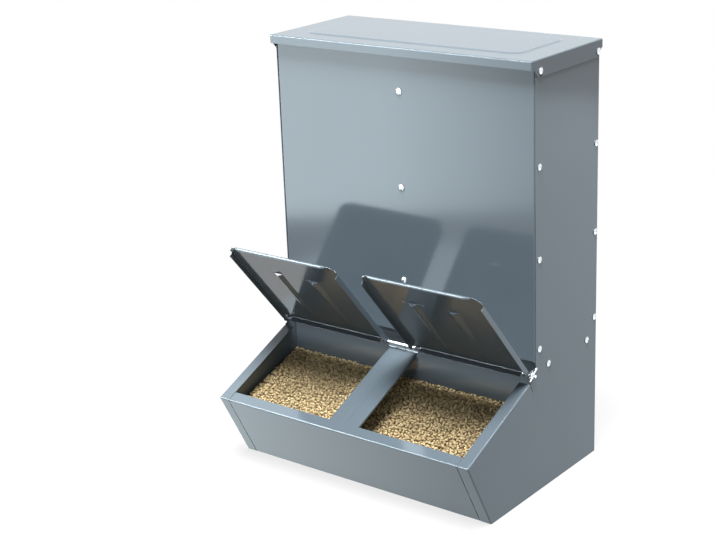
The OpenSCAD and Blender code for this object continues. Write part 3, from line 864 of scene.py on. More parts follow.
@dataclass
class SidePanel:
    """Hopper side and trough side in one sheet, with folded rim, hinge ear and relief slit."""

    sizes: FeederSizes
    side: Side
    ear_r: float = 0.010
    slit_w: float = 0.0016
    slit_l: float = 0.022
    slit_ahead: float = 0.006
    ear_steps: int = 14
    notch_steps: int = 8

    @staticmethod
    def _arc(y: float, z: float, radius: float, turn: float, steps: int) -> list[Vector]:
        """Work out the points of an arc that starts straight below its centre, on the middle plane.

        Args:
            y: Place of the centre along Y.
            z: Height of the centre.
            radius: Radius of the arc.
            turn: How far the arc runs, in radians.
            steps: Number of straight stretches.

        Returns:
            The points, with both ends.
        """
        angles = [-math.pi / 2 + turn * step / steps for step in range(steps + 1)]
        return [Vector((0.0, y + radius * math.cos(a), z + radius * math.sin(a))) for a in angles]

    def _outline(self) -> list[Vector]:
        """Work out the corners of the flat sheet, from the foot up along the front and round.

        Returns:
            The corners, on the panel's outer face.
        """
        sizes = self.sizes
        up = sizes.up_rim
        down = Vector((0.0, up.z, -up.y))
        slit_y = sizes.hinge_y - self.slit_ahead
        slit = Vector((0.0, slit_y, sizes.rim_at(slit_y)))
        near_edge = slit - up * self.slit_w / 2
        far_edge = slit + up * self.slit_w / 2
        points = [sizes.foot, sizes.lip, near_edge, near_edge + down * self.slit_l]
        points += [far_edge + down * self.slit_l, far_edge]
        points.append(Vector((0.0, sizes.hinge_y, sizes.rim_at(sizes.hinge_y))))
        points += self._arc(sizes.hinge_y, sizes.hinge_z, self.ear_r, -math.pi, self.ear_steps)
        notch_z = sizes.hinge_z + self.ear_r + sizes.bend
        points += self._arc(sizes.front_y, notch_z, sizes.bend, math.pi, self.notch_steps)
        points += [Vector((0.0, sizes.front_y, sizes.top_z)), Vector((0.0, sizes.pivot_y, sizes.top_z))]
        points += [Vector((0.0, sizes.back_y, sizes.back_z)), Vector((0.0, sizes.back_y, 0.0))]
        return [point + Vector((self.side.value * sizes.side_x, 0.0, 0.0)) for point in points]

    def build(self) -> bpy.types.Object:
        """Draw the panel, fold its rim and front edge and round its bends.

        Returns:
            The side panel.
        """
        sizes = self.sizes
        face_x = self.side.value * sizes.side_x
        rim_end_y = sizes.hinge_y - self.slit_ahead
        sheet = Sheet(f"{self.side.name.lower()}_side")
        sheet.trace(self._outline(), closed=True)

        def on_front(p: Vector) -> bool:
            """Whether a place is on the line of the folded front edge."""
            return abs((p - sizes.foot).dot(sizes.front_inward)) < TOUCH and p.z < sizes.lip_z + TOUCH

        def on_rim(p: Vector) -> bool:
            """Whether a place is on the line of the folded rim."""
            return near(p.z, sizes.rim_at(p.y)) and p.y < rim_end_y

        inward = (-self.side.value * sizes.rim_flange, 0.0, 0.0)
        sheet.pull(inward, lambda p: near(p.x, face_x) and (on_front(p) or on_rim(p)))

        def at_lip(p: Vector) -> bool:
            """Whether a place is on the corner between rim and front edge."""
            return near(p.y, sizes.lip_y) and near(p.z, sizes.lip_z)

        def on_fold(p: Vector) -> bool:
            """Whether a place is on any of the folds."""
            return at_lip(p) or (near(p.x, face_x) and (on_front(p) or on_rim(p)))

        sheet.fold(on_fold, sizes.bend)
        sheet.face((self.side.value, 0.0, 0.0))
        sheet.thicken(sizes.sheet)
        return sheet.obj


@dataclass
class TroughPan:
    """Lip, sloping front and floor of the trough in one sheet, with strips behind its seams."""

    sizes: FeederSizes
    lip_flange: float = 0.024
    seam_w: float = 0.0014
    seam_lap: float = 0.014
    strip_start: float = 0.0096
    edge: float = 0.020

    def build(self) -> bpy.types.Object:
        """Fold the pan and add its strips and upturned edges.

        Returns:
            The trough pan.
        """
        sizes = self.sizes
        seam_x = sizes.side_x - sizes.rim_flange - self.seam_w
        back_in = sizes.back_y - sizes.sheet - sizes.lap_gap
        start = Vector((-seam_x, 0.0, 0.0))
        corners = [sizes.lip, sizes.foot, Vector((0.0, back_in, 0.0))]
        section = [sizes.lip + sizes.up_rim * self.lip_flange, *corners, Vector((0.0, back_in, self.edge))]
        pan = Sheet("trough_tray")
        pan.trace([start + point for point in section])
        pan.pull((2 * seam_x, 0.0, 0.0))
        for corner in corners:
            pan.fold(lambda p: near(p.y, corner.y) and near(p.z, corner.z), sizes.bend)
        pan.face((0.0, -0.5, -1.0))
        pan.thicken(sizes.sheet)
        pan.join(*(make(side, seam_x) for side in Side for make in (self._strip, self._edge)))
        bpy.ops.object.mode_set(mode="OBJECT")
        return pan.obj

    def _strip(self, side: Side, seam_x: float) -> Sheet:
        """Lay the doubled strip behind one seam.

        Args:
            side: Which seam.
            seam_x: Place of the seam's inner edge.

        Returns:
            The finished strip.
        """
        sizes = self.sizes
        depth = sizes.sheet + sizes.lap_gap
        inset = sizes.front_inward * depth
        clear = sizes.up_front * self.strip_start
        under = Vector((0.0, sizes.up_rim.z, -sizes.up_rim.y))
        back_off = depth * (1.0 - sizes.front_inward.dot(under)) / sizes.up_front.dot(under)
        corner = sizes.lip + inset + sizes.up_front * back_off
        width = 2 * self.seam_lap + self.seam_w
        start = Vector((side.value * (seam_x + self.seam_w / 2) - width / 2, 0.0, 0.0))
        strip = Sheet("strip")
        rear = corner + sizes.up_rim * (self.lip_flange - 2 * sizes.bend)
        strip.trace([start + sizes.foot + inset + clear, start + corner, start + rear])
        strip.pull((width, 0.0, 0.0))
        strip.fold(lambda p: near(p.y, corner.y) and near(p.z, corner.z), sizes.bend)
        strip.face(-sizes.front_inward)
        strip.thicken(sizes.sheet)
        return strip

    def _edge(self, side: Side, seam_x: float) -> Sheet:
        """Fold the floor's upturned edge along one side panel.

        Args:
            side: Which side.
            seam_x: Where the main floor ends.

        Returns:
            The finished edge.
        """
        sizes = self.sizes
        out_x = side.value * sizes.inner_x
        low_y = sizes.foot_y + self.edge
        high_y = sizes.back_y - 2 * sizes.corner_flange
        strip = Sheet("edge")
        strip.trace([(side.value * seam_x, low_y, 0.0), (out_x, low_y, 0.0), (out_x, low_y, self.edge)])
        strip.pull((0.0, high_y - low_y, 0.0))
        strip.fold(lambda p: near(p.x, out_x) and near(p.z, 0.0), sizes.bend)
        strip.face((side.value, 0.0, -1.0))
        strip.thicken(sizes.sheet)
        return strip


@dataclass
class TroughDivider:
    """Creased cap channel along the middle of the trough, with a slit lip and a hanger at its back end."""

    sizes: FeederSizes
    width: float = 0.070
    edge: float = 0.005
    crease_w: float = 0.014
    crease_depth: float = 0.0008
    stop: float = 0.009
    lip_flange: float = 0.024
    lip_h: float = 0.006
    lip_bend: float = 0.006
    lip_root: float = 0.0062
    split: float = 0.004
    slit: float = 0.002
    hanger_half: float = 0.020
    hanger_drop: float = 0.018
    hanger_leg: float = 0.020

    def _end(self, y: float) -> Vector:
        """Place on the cap's outer face, on the middle plane."""
        drop = (self.sizes.sheet + 2 * self.sizes.lap_gap) / math.cos(self.sizes.rim_angle)
        return Vector((0.0, y, self.sizes.rim_at(y) - drop))

    def build(self) -> bpy.types.Object:
        """Fold the channel, its back lip and its hanger.

        Returns:
            The trough divider.
        """
        sizes = self.sizes
        half = self.width / 2
        crease = self.crease_w / 2
        up = sizes.up_rim
        lift = Vector((0.0, -up.z, up.y))
        start = self._end(sizes.lip_y + self.lip_flange * math.cos(sizes.rim_angle) / 2)
        rear = self._end(sizes.front_y - self.stop)
        section = [(-half, -self.edge), (-half, 0.0), (-crease, 0.0), (0.0, -self.crease_depth)]
        section += [(-x, z) for x, z in reversed(section[:3])]
        cap = Sheet("divider_cap")
        cap.trace([start + Vector((x, 0.0, 0.0)) + lift * z for x, z in section])
        cap.pull(rear - up * self.lip_root - start)
        for x in (half, crease, 0.0):
            cap.fold(lambda p: near(abs(p.x), x) and abs((p - start).dot(lift)) < self.edge / 2, sizes.bend)
        cap.face(lift)
        cap.thicken(sizes.sheet)
        spans = ((-half, self.split - self.slit / 2), (self.split + self.slit / 2, half))
        cap.join(self._hanger(rear), *(self._lip(rear, *span) for span in spans))
        bpy.ops.object.mode_set(mode="OBJECT")
        return cap.obj

    def _lip(self, rear: Vector, low: float, high: float) -> Sheet:
        """Curl one half of the lip at the cap's back end.

        Args:
            rear: The cap's back end.
            low: Where the half starts along X.
            high: Where it ends.

        Returns:
            The finished half.
        """
        sizes = self.sizes
        side = Vector((low, 0.0, 0.0))
        root = rear - sizes.up_rim * (self.lip_root + sizes.sheet)
        lip = Sheet("lip")
        lip.trace([root + side, rear + side, rear + side + Vector((0.0, 0.0, self.lip_h))])
        lip.pull((high - low, 0.0, 0.0))
        lip.fold(lambda p: near(p.y, rear.y) and near(p.z, rear.z), self.lip_bend)
        lip.face((0.0, -1.0, 1.0))
        lip.thicken(sizes.sheet)
        return lip

    def _hanger(self, rear: Vector) -> Sheet:
        """Fold the hanger that lies under the cap and reaches back to the baffle.

        Args:
            rear: The cap's back end.

        Returns:
            The finished hanger.
        """
        sizes = self.sizes
        under = Vector((-self.hanger_half, 0.0, -sizes.sheet))
        back_y = sizes.baffle_y - sizes.lap_gap
        low_z = rear.z - self.hanger_drop
        corners = [rear + under, Vector((under.x, rear.y, low_z)), Vector((under.x, back_y, low_z))]
        points = [self._end(rear.y - 2 * self.hanger_half) + under, *corners]
        points.append(Vector((under.x, back_y, low_z - self.hanger_leg)))
        hanger = Sheet("hanger")
        hanger.trace(points)
        hanger.pull((2 * self.hanger_half, 0.0, 0.0))
        for corner in corners:
            hanger.fold(lambda p: near(p.y, corner.y) and near(p.z, corner.z), sizes.bend)
        hanger.face((0.0, 0.0, 1.0))
        hanger.thicken(sizes.sheet)
        return hanger


@dataclass
class TroughLid:
    """A trough lid: a tray with two pressed darts, a rolled free edge and two tabs rolled on the rod.

    Its own frame has the rod's axis as X. The free edge lies towards -Y and the outer face looks up.
    """

    sizes: FeederSizes
    side: Side
    inner: float = 0.030
    outer: float = 0.2974
    reach: float = 0.264
    plate_top: float = 0.00165
    edge_low: float = -0.01035
    edge_start: float = 0.0046
    edge_slant: float = 0.014
    clip_w: float = 0.018
    clip_l: float = 0.019
    roll_r: float = 0.0035
    roll_turn: float = -330.0
    roll_taper: float = 0.016
    roll_end: float = 0.42
    roll_steps: int = 22
    knuckle_r: float = 0.00425
    knuckle_turn: float = 318.0
    tab_w: float = 0.014
    tab_in: float = 0.0028
    tab_gap: float = 0.001
    dart_pitch: float = 0.090
    dart_near: float = 0.017
    dart_far: float = 0.190
    dart_depth: float = 0.0055
    dart_swell: float = 0.8
    dart_point: float = 0.0055
    dart_mouth: float = 0.0135
    slit_half: float = 0.028
    slit_gap: float = 0.0005
    soften: float = 0.0002
    open_angle: float = 50.0
    cells: tuple[int, int] = (124, 118)

    @property
    def half(self) -> float:
        """Half the lid's width."""
        return (self.outer - self.inner) / 2

    @property
    def margin(self) -> float:
        """Width of the plain cells beside a bend."""
        return self.sizes.bend + self.sizes.fold_room

    @property
    def free_y(self) -> float:
        """Where the roll leaves the plate."""
        return self.roll_r - self.reach

    @property
    def side_y(self) -> float:
        """Where the turned-down sides end near the hinge."""
        return -self.edge_start - self.margin

    @property
    def tab_edges(self) -> tuple[float, float]:
        """Inner and outer edge of a tab, from the lid's middle."""
        outer = self.half - self.tab_in
        return outer - self.tab_w, outer

    @property
    def rear_half(self) -> float:
        """Half the length of the turned-down hinge edge."""
        return self.tab_edges[0] - self.tab_gap

    def build(self) -> bpy.types.Object:
        """Press, fold and roll the lid in its own frame, then open it on the rod.

        Returns:
            The trough lid.
        """
        sheet = self._blank()
        row = (self.side_y - self.free_y) / self.cells[1]
        slit_y = self.free_y + row * round((-self.dart_far - self.free_y) / row)
        for place in (-self.dart_pitch / 2, self.dart_pitch / 2):
            self._press_dart(sheet, place, slit_y)
        self._turn_down(sheet)
        self._roll_tabs(sheet)
        self._roll_free_edge(sheet)
        sheet.face((0.0, 0.0, 1.0))
        sheet.thicken(self.sizes.sheet, self.soften)
        middle = self.side.value * (self.outer + self.inner) / 2
        sheet.place(-math.radians(self.open_angle), (middle, self.sizes.hinge_y, self.sizes.hinge_z))
        return sheet.obj

    def _blank(self) -> Sheet:
        """Lay the plate with its tabs, and with plain cells where it is bent.

        Returns:
            The flat plate, in edit mode.
        """
        top = self.plate_top
        side_x = self.half - self.margin
        side_y = self.side_y
        tab_inner, tab_outer = self.tab_edges
        rear_half = self.rear_half
        sheet = Sheet(f"{self.side.name.lower()}_lid")
        sheet.lay_grid((-side_x, self.free_y, top), (side_x, side_y, top), self.cells)
        for sign in (-1, 1):
            sheet.pull((sign * self.margin, 0.0, 0.0), lambda p: near(p.x, sign * side_x))
        sheet.pull((0.0, self.margin, 0.0), lambda p: near(p.y, side_y))
        for x in (tab_outer, tab_inner, rear_half):
            for sign in (-1, 1):
                sheet.cut((sign * x, 0.0, 0.0), (1.0, 0.0, 0.0))
        sheet.drop(lambda p: abs(p.x) > tab_outer - TOUCH and p.y > side_y - TOUCH)
        sheet.drop(lambda p: rear_half - TOUCH < abs(p.x) < tab_inner + TOUCH and p.y > side_y - TOUCH)
        return sheet

    def _press_dart(self, sheet: Sheet, x: float, slit_y: float) -> None:
        """Slit the plate and press one dart out of it towards the underside.

        Args:
            sheet: The flat plate.
            x: Place of the dart across the lid.
            slit_y: Place of its slit along the lid.
        """
        sheet.pick(lambda p: near(p.y, slit_y) and abs(p.x - x) < self.slit_half)
        bpy.ops.mesh.edge_split(type="EDGE")
        mesh = bmesh.from_edit_mesh(sheet.obj.data)
        for vert in mesh.verts:
            off = abs(vert.co.x - x)
            out = -vert.co.y
            on_slit = near(vert.co.y, slit_y)
            hinge_side = all(face.calc_center_median().y > slit_y for face in vert.link_faces)
            if on_slit and off < self.slit_half and any(edge.is_boundary for edge in vert.link_edges):
                vert.co.y += self.slit_gap if hinge_side else 0.0
            if out < self.dart_near or out > TOUCH - slit_y or (on_slit and not hinge_side):
                continue
            share = (out - self.dart_near) / (-slit_y - self.dart_near)
            reach = self.dart_point + (self.dart_mouth - self.dart_point) * share
            if off < reach:
                crown = 0.5 + 0.5 * math.cos(math.pi * off / reach)
                vert.co.z -= self.dart_depth * share ** self.dart_swell * crown
        bmesh.update_edit_mesh(sheet.obj.data)

    def _turn_down(self, sheet: Sheet) -> None:
        """Turn the sides and the hinge edge down, clip the free corners and slant the sides' ends.

        Args:
            sheet: The pressed plate.
        """
        half = self.half
        top = self.plate_top
        side_y = self.side_y
        rear_half = self.rear_half
        bend = self.sizes.bend

        def on_side(p: Vector) -> bool:
            """Whether a place is on a side that is turned down."""
            return near(abs(p.x), half) and p.y < side_y + TOUCH

        def on_rear(p: Vector) -> bool:
            """Whether a place is on the hinge edge that is turned down."""
            return near(p.y, -self.edge_start) and abs(p.x) < rear_half + TOUCH

        down = Vector((0.0, 0.0, self.edge_low - top))
        for on_edge in (on_side, on_rear):
            sheet.pull(down, on_edge)
            sheet.fold(lambda p: on_edge(p) and near(p.z, top), bend)
        clip_y = self.clip_l - self.reach
        for sign in (-1, 1):
            outward = (sign * (self.clip_l - self.roll_r), -self.clip_w, 0.0)
            sheet.cut((sign * half, clip_y, 0.0), outward, trim=True)
        slope = (0.0, down.z + bend, -self.edge_slant)
        sheet.cut((0.0, clip_y, top - bend), slope, lambda p: near(abs(p.x), half), trim=True)

    def _roll_tabs(self, sheet: Sheet) -> None:
        """Draw the tabs out to the rod and roll them on it.

        Args:
            sheet: The folded plate.
        """
        tab_inner, tab_outer = self.tab_edges

        def on_tab(p: Vector) -> bool:
            """Whether a place is across one of the tabs."""
            return tab_inner - TOUCH < abs(p.x) < tab_outer + TOUCH

        tab_y = -math.sqrt(self.knuckle_r ** 2 - self.plate_top ** 2)
        sheet.pull((0.0, tab_y + self.edge_start, 0.0), lambda p: on_tab(p) and near(p.y, -self.edge_start))
        rod = Vector((0.0, 0.0, 0.0))
        sheet.roll(lambda p: on_tab(p) and near(p.y, tab_y), rod, self.knuckle_turn, self.roll_steps)

    def _roll_free_edge(self, sheet: Sheet) -> None:
        """Roll the free edge under, and draw the roll in towards its ends.

        Args:
            sheet: The folded plate.
        """
        free_y = self.free_y
        clip_x = self.half - self.clip_w
        centre = Vector((0.0, free_y, self.plate_top - self.roll_r))

        def on_free_edge(p: Vector) -> bool:
            """Whether a place is on the free edge between the clipped corners."""
            return near(p.y, free_y) and abs(p.x) < clip_x + TOUCH

        sheet.roll(on_free_edge, centre, self.roll_turn, self.roll_steps)
        mesh = bmesh.from_edit_mesh(sheet.obj.data)
        for vert in mesh.verts:
            off = Vector((0.0, vert.co.y, vert.co.z)) - centre
            end = clip_x - abs(vert.co.x)
            if abs(off.length - self.roll_r) < TOUCH and end < self.roll_taper:
                share = max(end, 0.0) / self.roll_taper
                keep = self.roll_end + (1.0 - self.roll_end) * math.sin(share * math.pi / 2)
                vert.co.y = free_y + (vert.co.y - free_y) * keep
                vert.co.z = self.plate_top + (vert.co.z - self.plate_top) * keep
        bmesh.update_edit_mesh(sheet.obj.data)


@dataclass
class TopLid:
    """Hopper lid: pressed panel, front and rear flange, deeper side flanges with sloping ends."""

    sizes: FeederSizes
    seat_gap: float = 0.0003
    side_gap: float = 0.0006
    over_front: float = 0.016
    over_rear: float = 0.0113
    front_flange: float = 0.017
    side_flange: float = 0.032
    rear_flange: float = 0.008
    slope_start: float = 0.0068
    slope_run: float = 0.0135
    panel_side: float = 0.052
    panel_end: float = 0.041
    panel_r: float = 0.028
    panel_rise: float = 0.002
    panel_steps: int = 12
    shoulder: float = 0.005
    shoulder_share: float = 0.42
    shoulder_steps: int = 4
    flat_turn: float = 0.05
    slot_half: float = 0.004

    @property
    def half(self) -> float:
        """Half the lid's width."""
        return self.sizes.side_x + self.side_gap + self.sizes.sheet

    @property
    def high(self) -> float:
        """Height of the plate's outer face."""
        return self.sizes.top_z + self.seat_gap + self.sizes.sheet

    @property
    def front(self) -> float:
        """Place of the front edge."""
        return self.sizes.front_y - self.over_front

    @property
    def rear(self) -> float:
        """Place of the rear edge."""
        return self.sizes.back_y + self.over_rear

    def build(self) -> bpy.types.Object:
        """Press the panel, fold the flanges and cut their slopes and slots.

        Returns:
            The top lid.
        """
        sheet = self._pressed_plate()
        self._fold_flanges(sheet)
        self._shape_sides(sheet)
        sheet.face((0.0, 0.0, 1.0))
        sheet.thicken(self.sizes.sheet)
        return sheet.obj

    def _pressed_plate(self) -> Sheet:
        """Lay the plate with its raised panel.

        Returns:
            The plate, in edit mode.
        """
        half, high, front, rear = self.half, self.high, self.front, self.rear
        middle = Vector((0.0, (front + rear) / 2, high))
        corner = Vector((half - self.panel_side, (rear - front) / 2 - self.panel_end, 0.0))
        sheet = Sheet("hopper_lid_sheet")
        sheet.lay_grid(middle - corner, middle + corner, (1, 1))
        bpy.ops.mesh.select_mode(type="VERT")
        bpy.ops.mesh.select_all(action="SELECT")
        bpy.ops.mesh.bevel(
            offset_type="OFFSET", offset=self.panel_r, segments=self.panel_steps, profile=0.5,
            affect="VERTICES", clamp_overlap=False,
        )
        bpy.ops.mesh.select_mode(type="FACE")
        bpy.ops.mesh.select_all(action="SELECT")
        bpy.ops.mesh.inset(thickness=self.shoulder, depth=self.panel_rise)
        bpy.ops.mesh.select_all(action="DESELECT")
        bpy.ops.mesh.primitive_plane_add(size=2.0, location=middle)
        bpy.ops.transform.resize(value=(half, (rear - front) / 2, 1.0), center_override=middle)
        bpy.ops.mesh.inset(thickness=self.panel_end / 2, depth=0.0)
        bpy.ops.mesh.delete(type="ONLY_FACE")
        self._fill_ring(sheet)

        def inside(p: Vector) -> bool:
            """Whether a place is off the plate's edges."""
            return abs(p.x) < half - TOUCH and front + TOUCH < p.y < rear - TOUCH

        for level in (high, high + self.panel_rise):
            sheet.pick(lambda p: near(p.z, level) and inside(p))
            self._keep_ridge(sheet)
            bpy.ops.mesh.bevel(
                offset_type="OFFSET", offset=self.shoulder * self.shoulder_share, profile=0.5,
                segments=self.shoulder_steps, affect="EDGES", clamp_overlap=False,
            )
        return sheet

    def _fill_ring(self, sheet: Sheet) -> None:
        """Fill the plate between its plain ring and its raised panel.

        Args:
            sheet: The plate, with that part open.
        """
        bpy.ops.mesh.select_mode(type="EDGE")
        bpy.ops.mesh.select_all(action="DESELECT")
        inner_x = self.half - TOUCH
        mesh = bmesh.from_edit_mesh(sheet.obj.data)
        for edge in mesh.edges:
            inner = all(abs(vert.co.x) < inner_x for vert in edge.verts)
            if len(edge.link_faces) < 2 and inner:
                edge.select_set(True)
        bmesh.update_edit_mesh(sheet.obj.data)
        bpy.ops.mesh.fill()

    def _keep_ridge(self, sheet: Sheet) -> None:
        """Leave only those selected edges where the surface turns.

        Args:
            sheet: The plate, with edges selected.
        """
        mesh = bmesh.from_edit_mesh(sheet.obj.data)
        for edge in mesh.edges:
            if edge.select and edge.calc_face_angle(0.0) < self.flat_turn:
                edge.select_set(False)
        bmesh.update_edit_mesh(sheet.obj.data)

    def _fold_flanges(self, sheet: Sheet) -> None:
        """Notch the rear corners and turn all four flanges down.

        Args:
            sheet: The plate with its raised panel.
        """
        sizes = self.sizes
        half, high, front, rear = self.half, self.high, self.front, self.rear
        room = self.panel_end / 2 + TOUCH
        notch_x = half - sizes.bend - sizes.fold_room
        notch_y = rear - sizes.bend - sizes.fold_room

        def outer_ring(p: Vector) -> bool:
            """Whether a place is in the plain ring round the pressed panel."""
            return abs(p.x) > half - room or not front + room < p.y < rear - room

        def on_rim(p: Vector) -> bool:
            """Whether a place is on the three edges whose flanges meet at the front corners."""
            return near(p.z, high) and (near(abs(p.x), half) or near(p.y, front))

        def on_rear(p: Vector) -> bool:
            """Whether a place is on the rear edge."""
            return near(p.z, high) and near(p.y, rear)

        def at_corner(p: Vector) -> bool:
            """Whether a place is on an upright front corner."""
            return near(abs(p.x), half) and near(p.y, front)

        sheet.cut((0.0, notch_y, 0.0), (0.0, 1.0, 0.0), outer_ring)
        for sign in (-1, 1):
            sheet.cut((sign * notch_x, 0.0, 0.0), (1.0, 0.0, 0.0), outer_ring)
            sheet.drop(lambda p: sign * p.x > notch_x - TOUCH and p.y > notch_y - TOUCH)
        sheet.pull((0.0, 0.0, -self.front_flange), on_rim)
        sheet.pull((0.0, 0.0, -self.rear_flange), on_rear)
        sheet.fold(lambda p: on_rim(p) or at_corner(p), sizes.bend)
        sheet.fold(on_rear, sizes.bend)

    def _shape_sides(self, sheet: Sheet) -> None:
        """Deepen the side flanges between sloping ends, and cut the slots for the front bolts.

        Args:
            sheet: The folded lid.
        """
        half, high = self.half, self.high
        flange_z = high - self.front_flange
        slope_end = self.slope_start + self.slope_run
        deep_front = self.front + slope_end
        deep_rear = self.rear - slope_end
        latch_y = self.sizes.front_y + self.sizes.screw_in
        pivot_z = self.sizes.pivot_z

        def on_side(p: Vector) -> bool:
            """Whether a place is on a side flange."""
            return near(abs(p.x), half) and p.z < high + TOUCH

        def on_deep_edge(p: Vector) -> bool:
            """Whether a place is on a side flange's lower edge, between its slopes."""
            return on_side(p) and near(p.z, flange_z) and deep_front - TOUCH < p.y < deep_rear + TOUCH

        def in_slot(p: Vector) -> bool:
            """Whether a place is in the slot over a front bolt."""
            return on_side(p) and abs(p.y - latch_y) < self.slot_half + TOUCH and p.z < pivot_z + TOUCH

        for y in (self.front + self.slope_start, deep_front, deep_rear, self.rear - self.slope_start):
            sheet.cut((0.0, y, 0.0), (0.0, 1.0, 0.0), on_side)
        sheet.shift((0.0, 0.0, self.front_flange - self.side_flange), on_deep_edge)
        for y in (latch_y - self.slot_half, latch_y + self.slot_half):
            sheet.cut((0.0, y, 0.0), (0.0, 1.0, 0.0), on_side)
        sheet.cut((0.0, 0.0, pivot_z), (0.0, 0.0, 1.0), on_side)
        sheet.drop(in_slot)


@dataclass
class FeedFill:
    """Feed pellets that lie in the trough and under the hopper's throat, banked higher on the left.

    Each layer of pellets has a height above the surface, a share of the spacing, and a tone; the lower layer is
    darker, as painted shade in the gaps between pellets.
    """

    sizes: FeederSizes
    ease: float = math.radians(4.8)
    drop: float = 0.002
    bank: float = 0.010
    bank_end: float = -0.012
    wall_gap: float = 0.0024
    heap_sink: float = 0.0045
    # Dark tone of the heap under the pellets: painted shade.
    heap_shade_tone: float = 0.12
    floor_end: float = 0.034
    rear_gap: float = 0.012
    rear_step: float = 0.006
    rear_top_gap: float = 0.008
    throat_in: float = 0.014
    pellet_r: float = 0.0020
    pellet_l: float = 0.0048
    pellet_round: float = 0.0007
    pellet_sides: int = 6
    spacing: float = 0.0053
    jitter: float = 0.42
    tumble: float = 0.33
    settle: float = 0.0006
    length_range: tuple[float, float] = (0.65, 1.2)
    size_range: tuple[float, float] = (0.9, 1.1)
    tone_spread: float = 0.18
    tone_least: float = 0.05
    # The lower layer's darker tone is painted shade between the pellets.
    layers: tuple[tuple[float, float, float], ...] = ((-0.0036, 1.0, 0.3), (-0.0005, 1.14, 0.7))
    seed: int = 11

    @property
    def slope(self) -> float:
        """Slope of the feed's surface, in radians."""
        return self.sizes.rim_angle - self.ease

    def _surface(self, y: float) -> float:
        """Height of the feed's surface at a place along Y."""
        return self.sizes.throat_z - self.drop + (y - self.sizes.baffle_y) * math.tan(self.slope)

    def _fill(self, name: str, outline: Sequence[Vector], span: tuple[float, float]) -> bpy.types.Object:
        """Fill an outline on the middle plane along X.

        Args:
            name: Name of the piece.
            outline: Corners of the outline.
            span: Where the filling starts and ends along X.

        Returns:
            The filling, painted in the dark tone of feed in shade.
        """
        heap = Sheet(name)
        heap.trace([point + Vector((span[0], 0.0, 0.0)) for point in outline], closed=True)
        bpy.ops.mesh.extrude_region_move(TRANSFORM_OT_translate={"value": (span[1] - span[0], 0.0, 0.0)})
        bpy.ops.mesh.select_all(action="SELECT")
        bpy.ops.mesh.normals_make_consistent(inside=False)
        bpy.ops.object.mode_set(mode="OBJECT")
        self._tone(heap.obj, np.full(len(heap.obj.data.vertices), self.heap_shade_tone))
        return heap.obj

    def _heap_outline(self) -> list[Vector]:
        """Work out the corners of the heap under the pellets.

        Returns:
            The corners, on the middle plane.
        """
        low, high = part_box("feed_bed")
        inset = self.wall_gap
        rear_top = self._surface(high.y) - self.heap_sink
        wall = self.sizes.foot + self.sizes.front_inward * 2 * inset
        up = self.sizes.up_front
        climb = (self._surface(low.y) - self.heap_sink - 2 * inset - wall.z) / up.z
        return [
            Vector((0.0, wall.y + up.y * climb, wall.z + up.z * climb)),
            Vector((0.0, wall.y, wall.z + inset)),
            Vector((0.0, self.sizes.front_y - self.floor_end, wall.z + inset)),
            Vector((0.0, high.y - self.rear_gap, rear_top - self.rear_step)),
            Vector((0.0, high.y - self.rear_top_gap, rear_top)),
        ]

    def _bank_outline(self, front: float, rear: float) -> list[Vector]:
        """Work out the corners of the bank on top of the heap.

        Args:
            front: Place of the bank's front.
            rear: Place of its rear.

        Returns:
            The corners, on the middle plane.
        """
        low = -2 * self.heap_sink
        high = self.bank - self.heap_sink
        corners = [(front, low), (rear, low), (rear, high), (front, high)]
        return [Vector((0.0, y, self._surface(y) + rise)) for y, rise in corners]

    def _pellet(self) -> tuple[np.ndarray, list[tuple[int, ...]]]:
        """Model one pellet lying along X.

        Returns:
            Its vertices and its faces.
        """
        pellet = Sheet("pellet")
        set_down()
        bpy.ops.mesh.primitive_cylinder_add(
            vertices=self.pellet_sides, radius=self.pellet_r, depth=self.pellet_l,
            rotation=(0.0, math.pi / 2, 0.0),
        )
        pellet.adopt()
        for sign in (1, -1):
            pellet.pick(lambda p: sign * p.x > 0.0)
            bpy.ops.mesh.bevel(offset_type="OFFSET", offset=self.pellet_round, segments=1, affect="EDGES")
        bpy.ops.object.mode_set(mode="OBJECT")
        mesh = pellet.obj.data
        verts = np.array([vert.co[:] for vert in mesh.vertices])
        faces = [tuple(face.vertices) for face in mesh.polygons]
        bpy.data.objects.remove(pellet.obj)
        return verts, faces

    def _tone(self, obj: bpy.types.Object, tones: np.ndarray) -> None:
        """Write each vertex's tone for the feed's finish."""
        layer = obj.data.attributes.new(FeedFinish().attribute, "FLOAT", "POINT")
        layer.data.foreach_set("value", tones.astype(np.float32))

    def _spots(self, rng: np.random.Generator, box: tuple[Place, Place], pitch: float) -> np.ndarray:
        """Spread spots over a level rectangle on a jittered grid.

        Args:
            rng: Seeded random source.
            box: Lowest and highest X and Y.
            pitch: Spacing of the grid.

        Returns:
            Spots as rows of X and Y.
        """
        (low_x, low_y), (high_x, high_y) = box
        across, along = np.meshgrid(np.arange(low_x, high_x, pitch), np.arange(low_y, high_y, pitch))
        spots = np.column_stack([across.ravel(), along.ravel()])
        spots += rng.uniform(-self.jitter, self.jitter, spots.shape) * pitch
        return np.clip(spots, (low_x, low_y), (high_x, high_y))

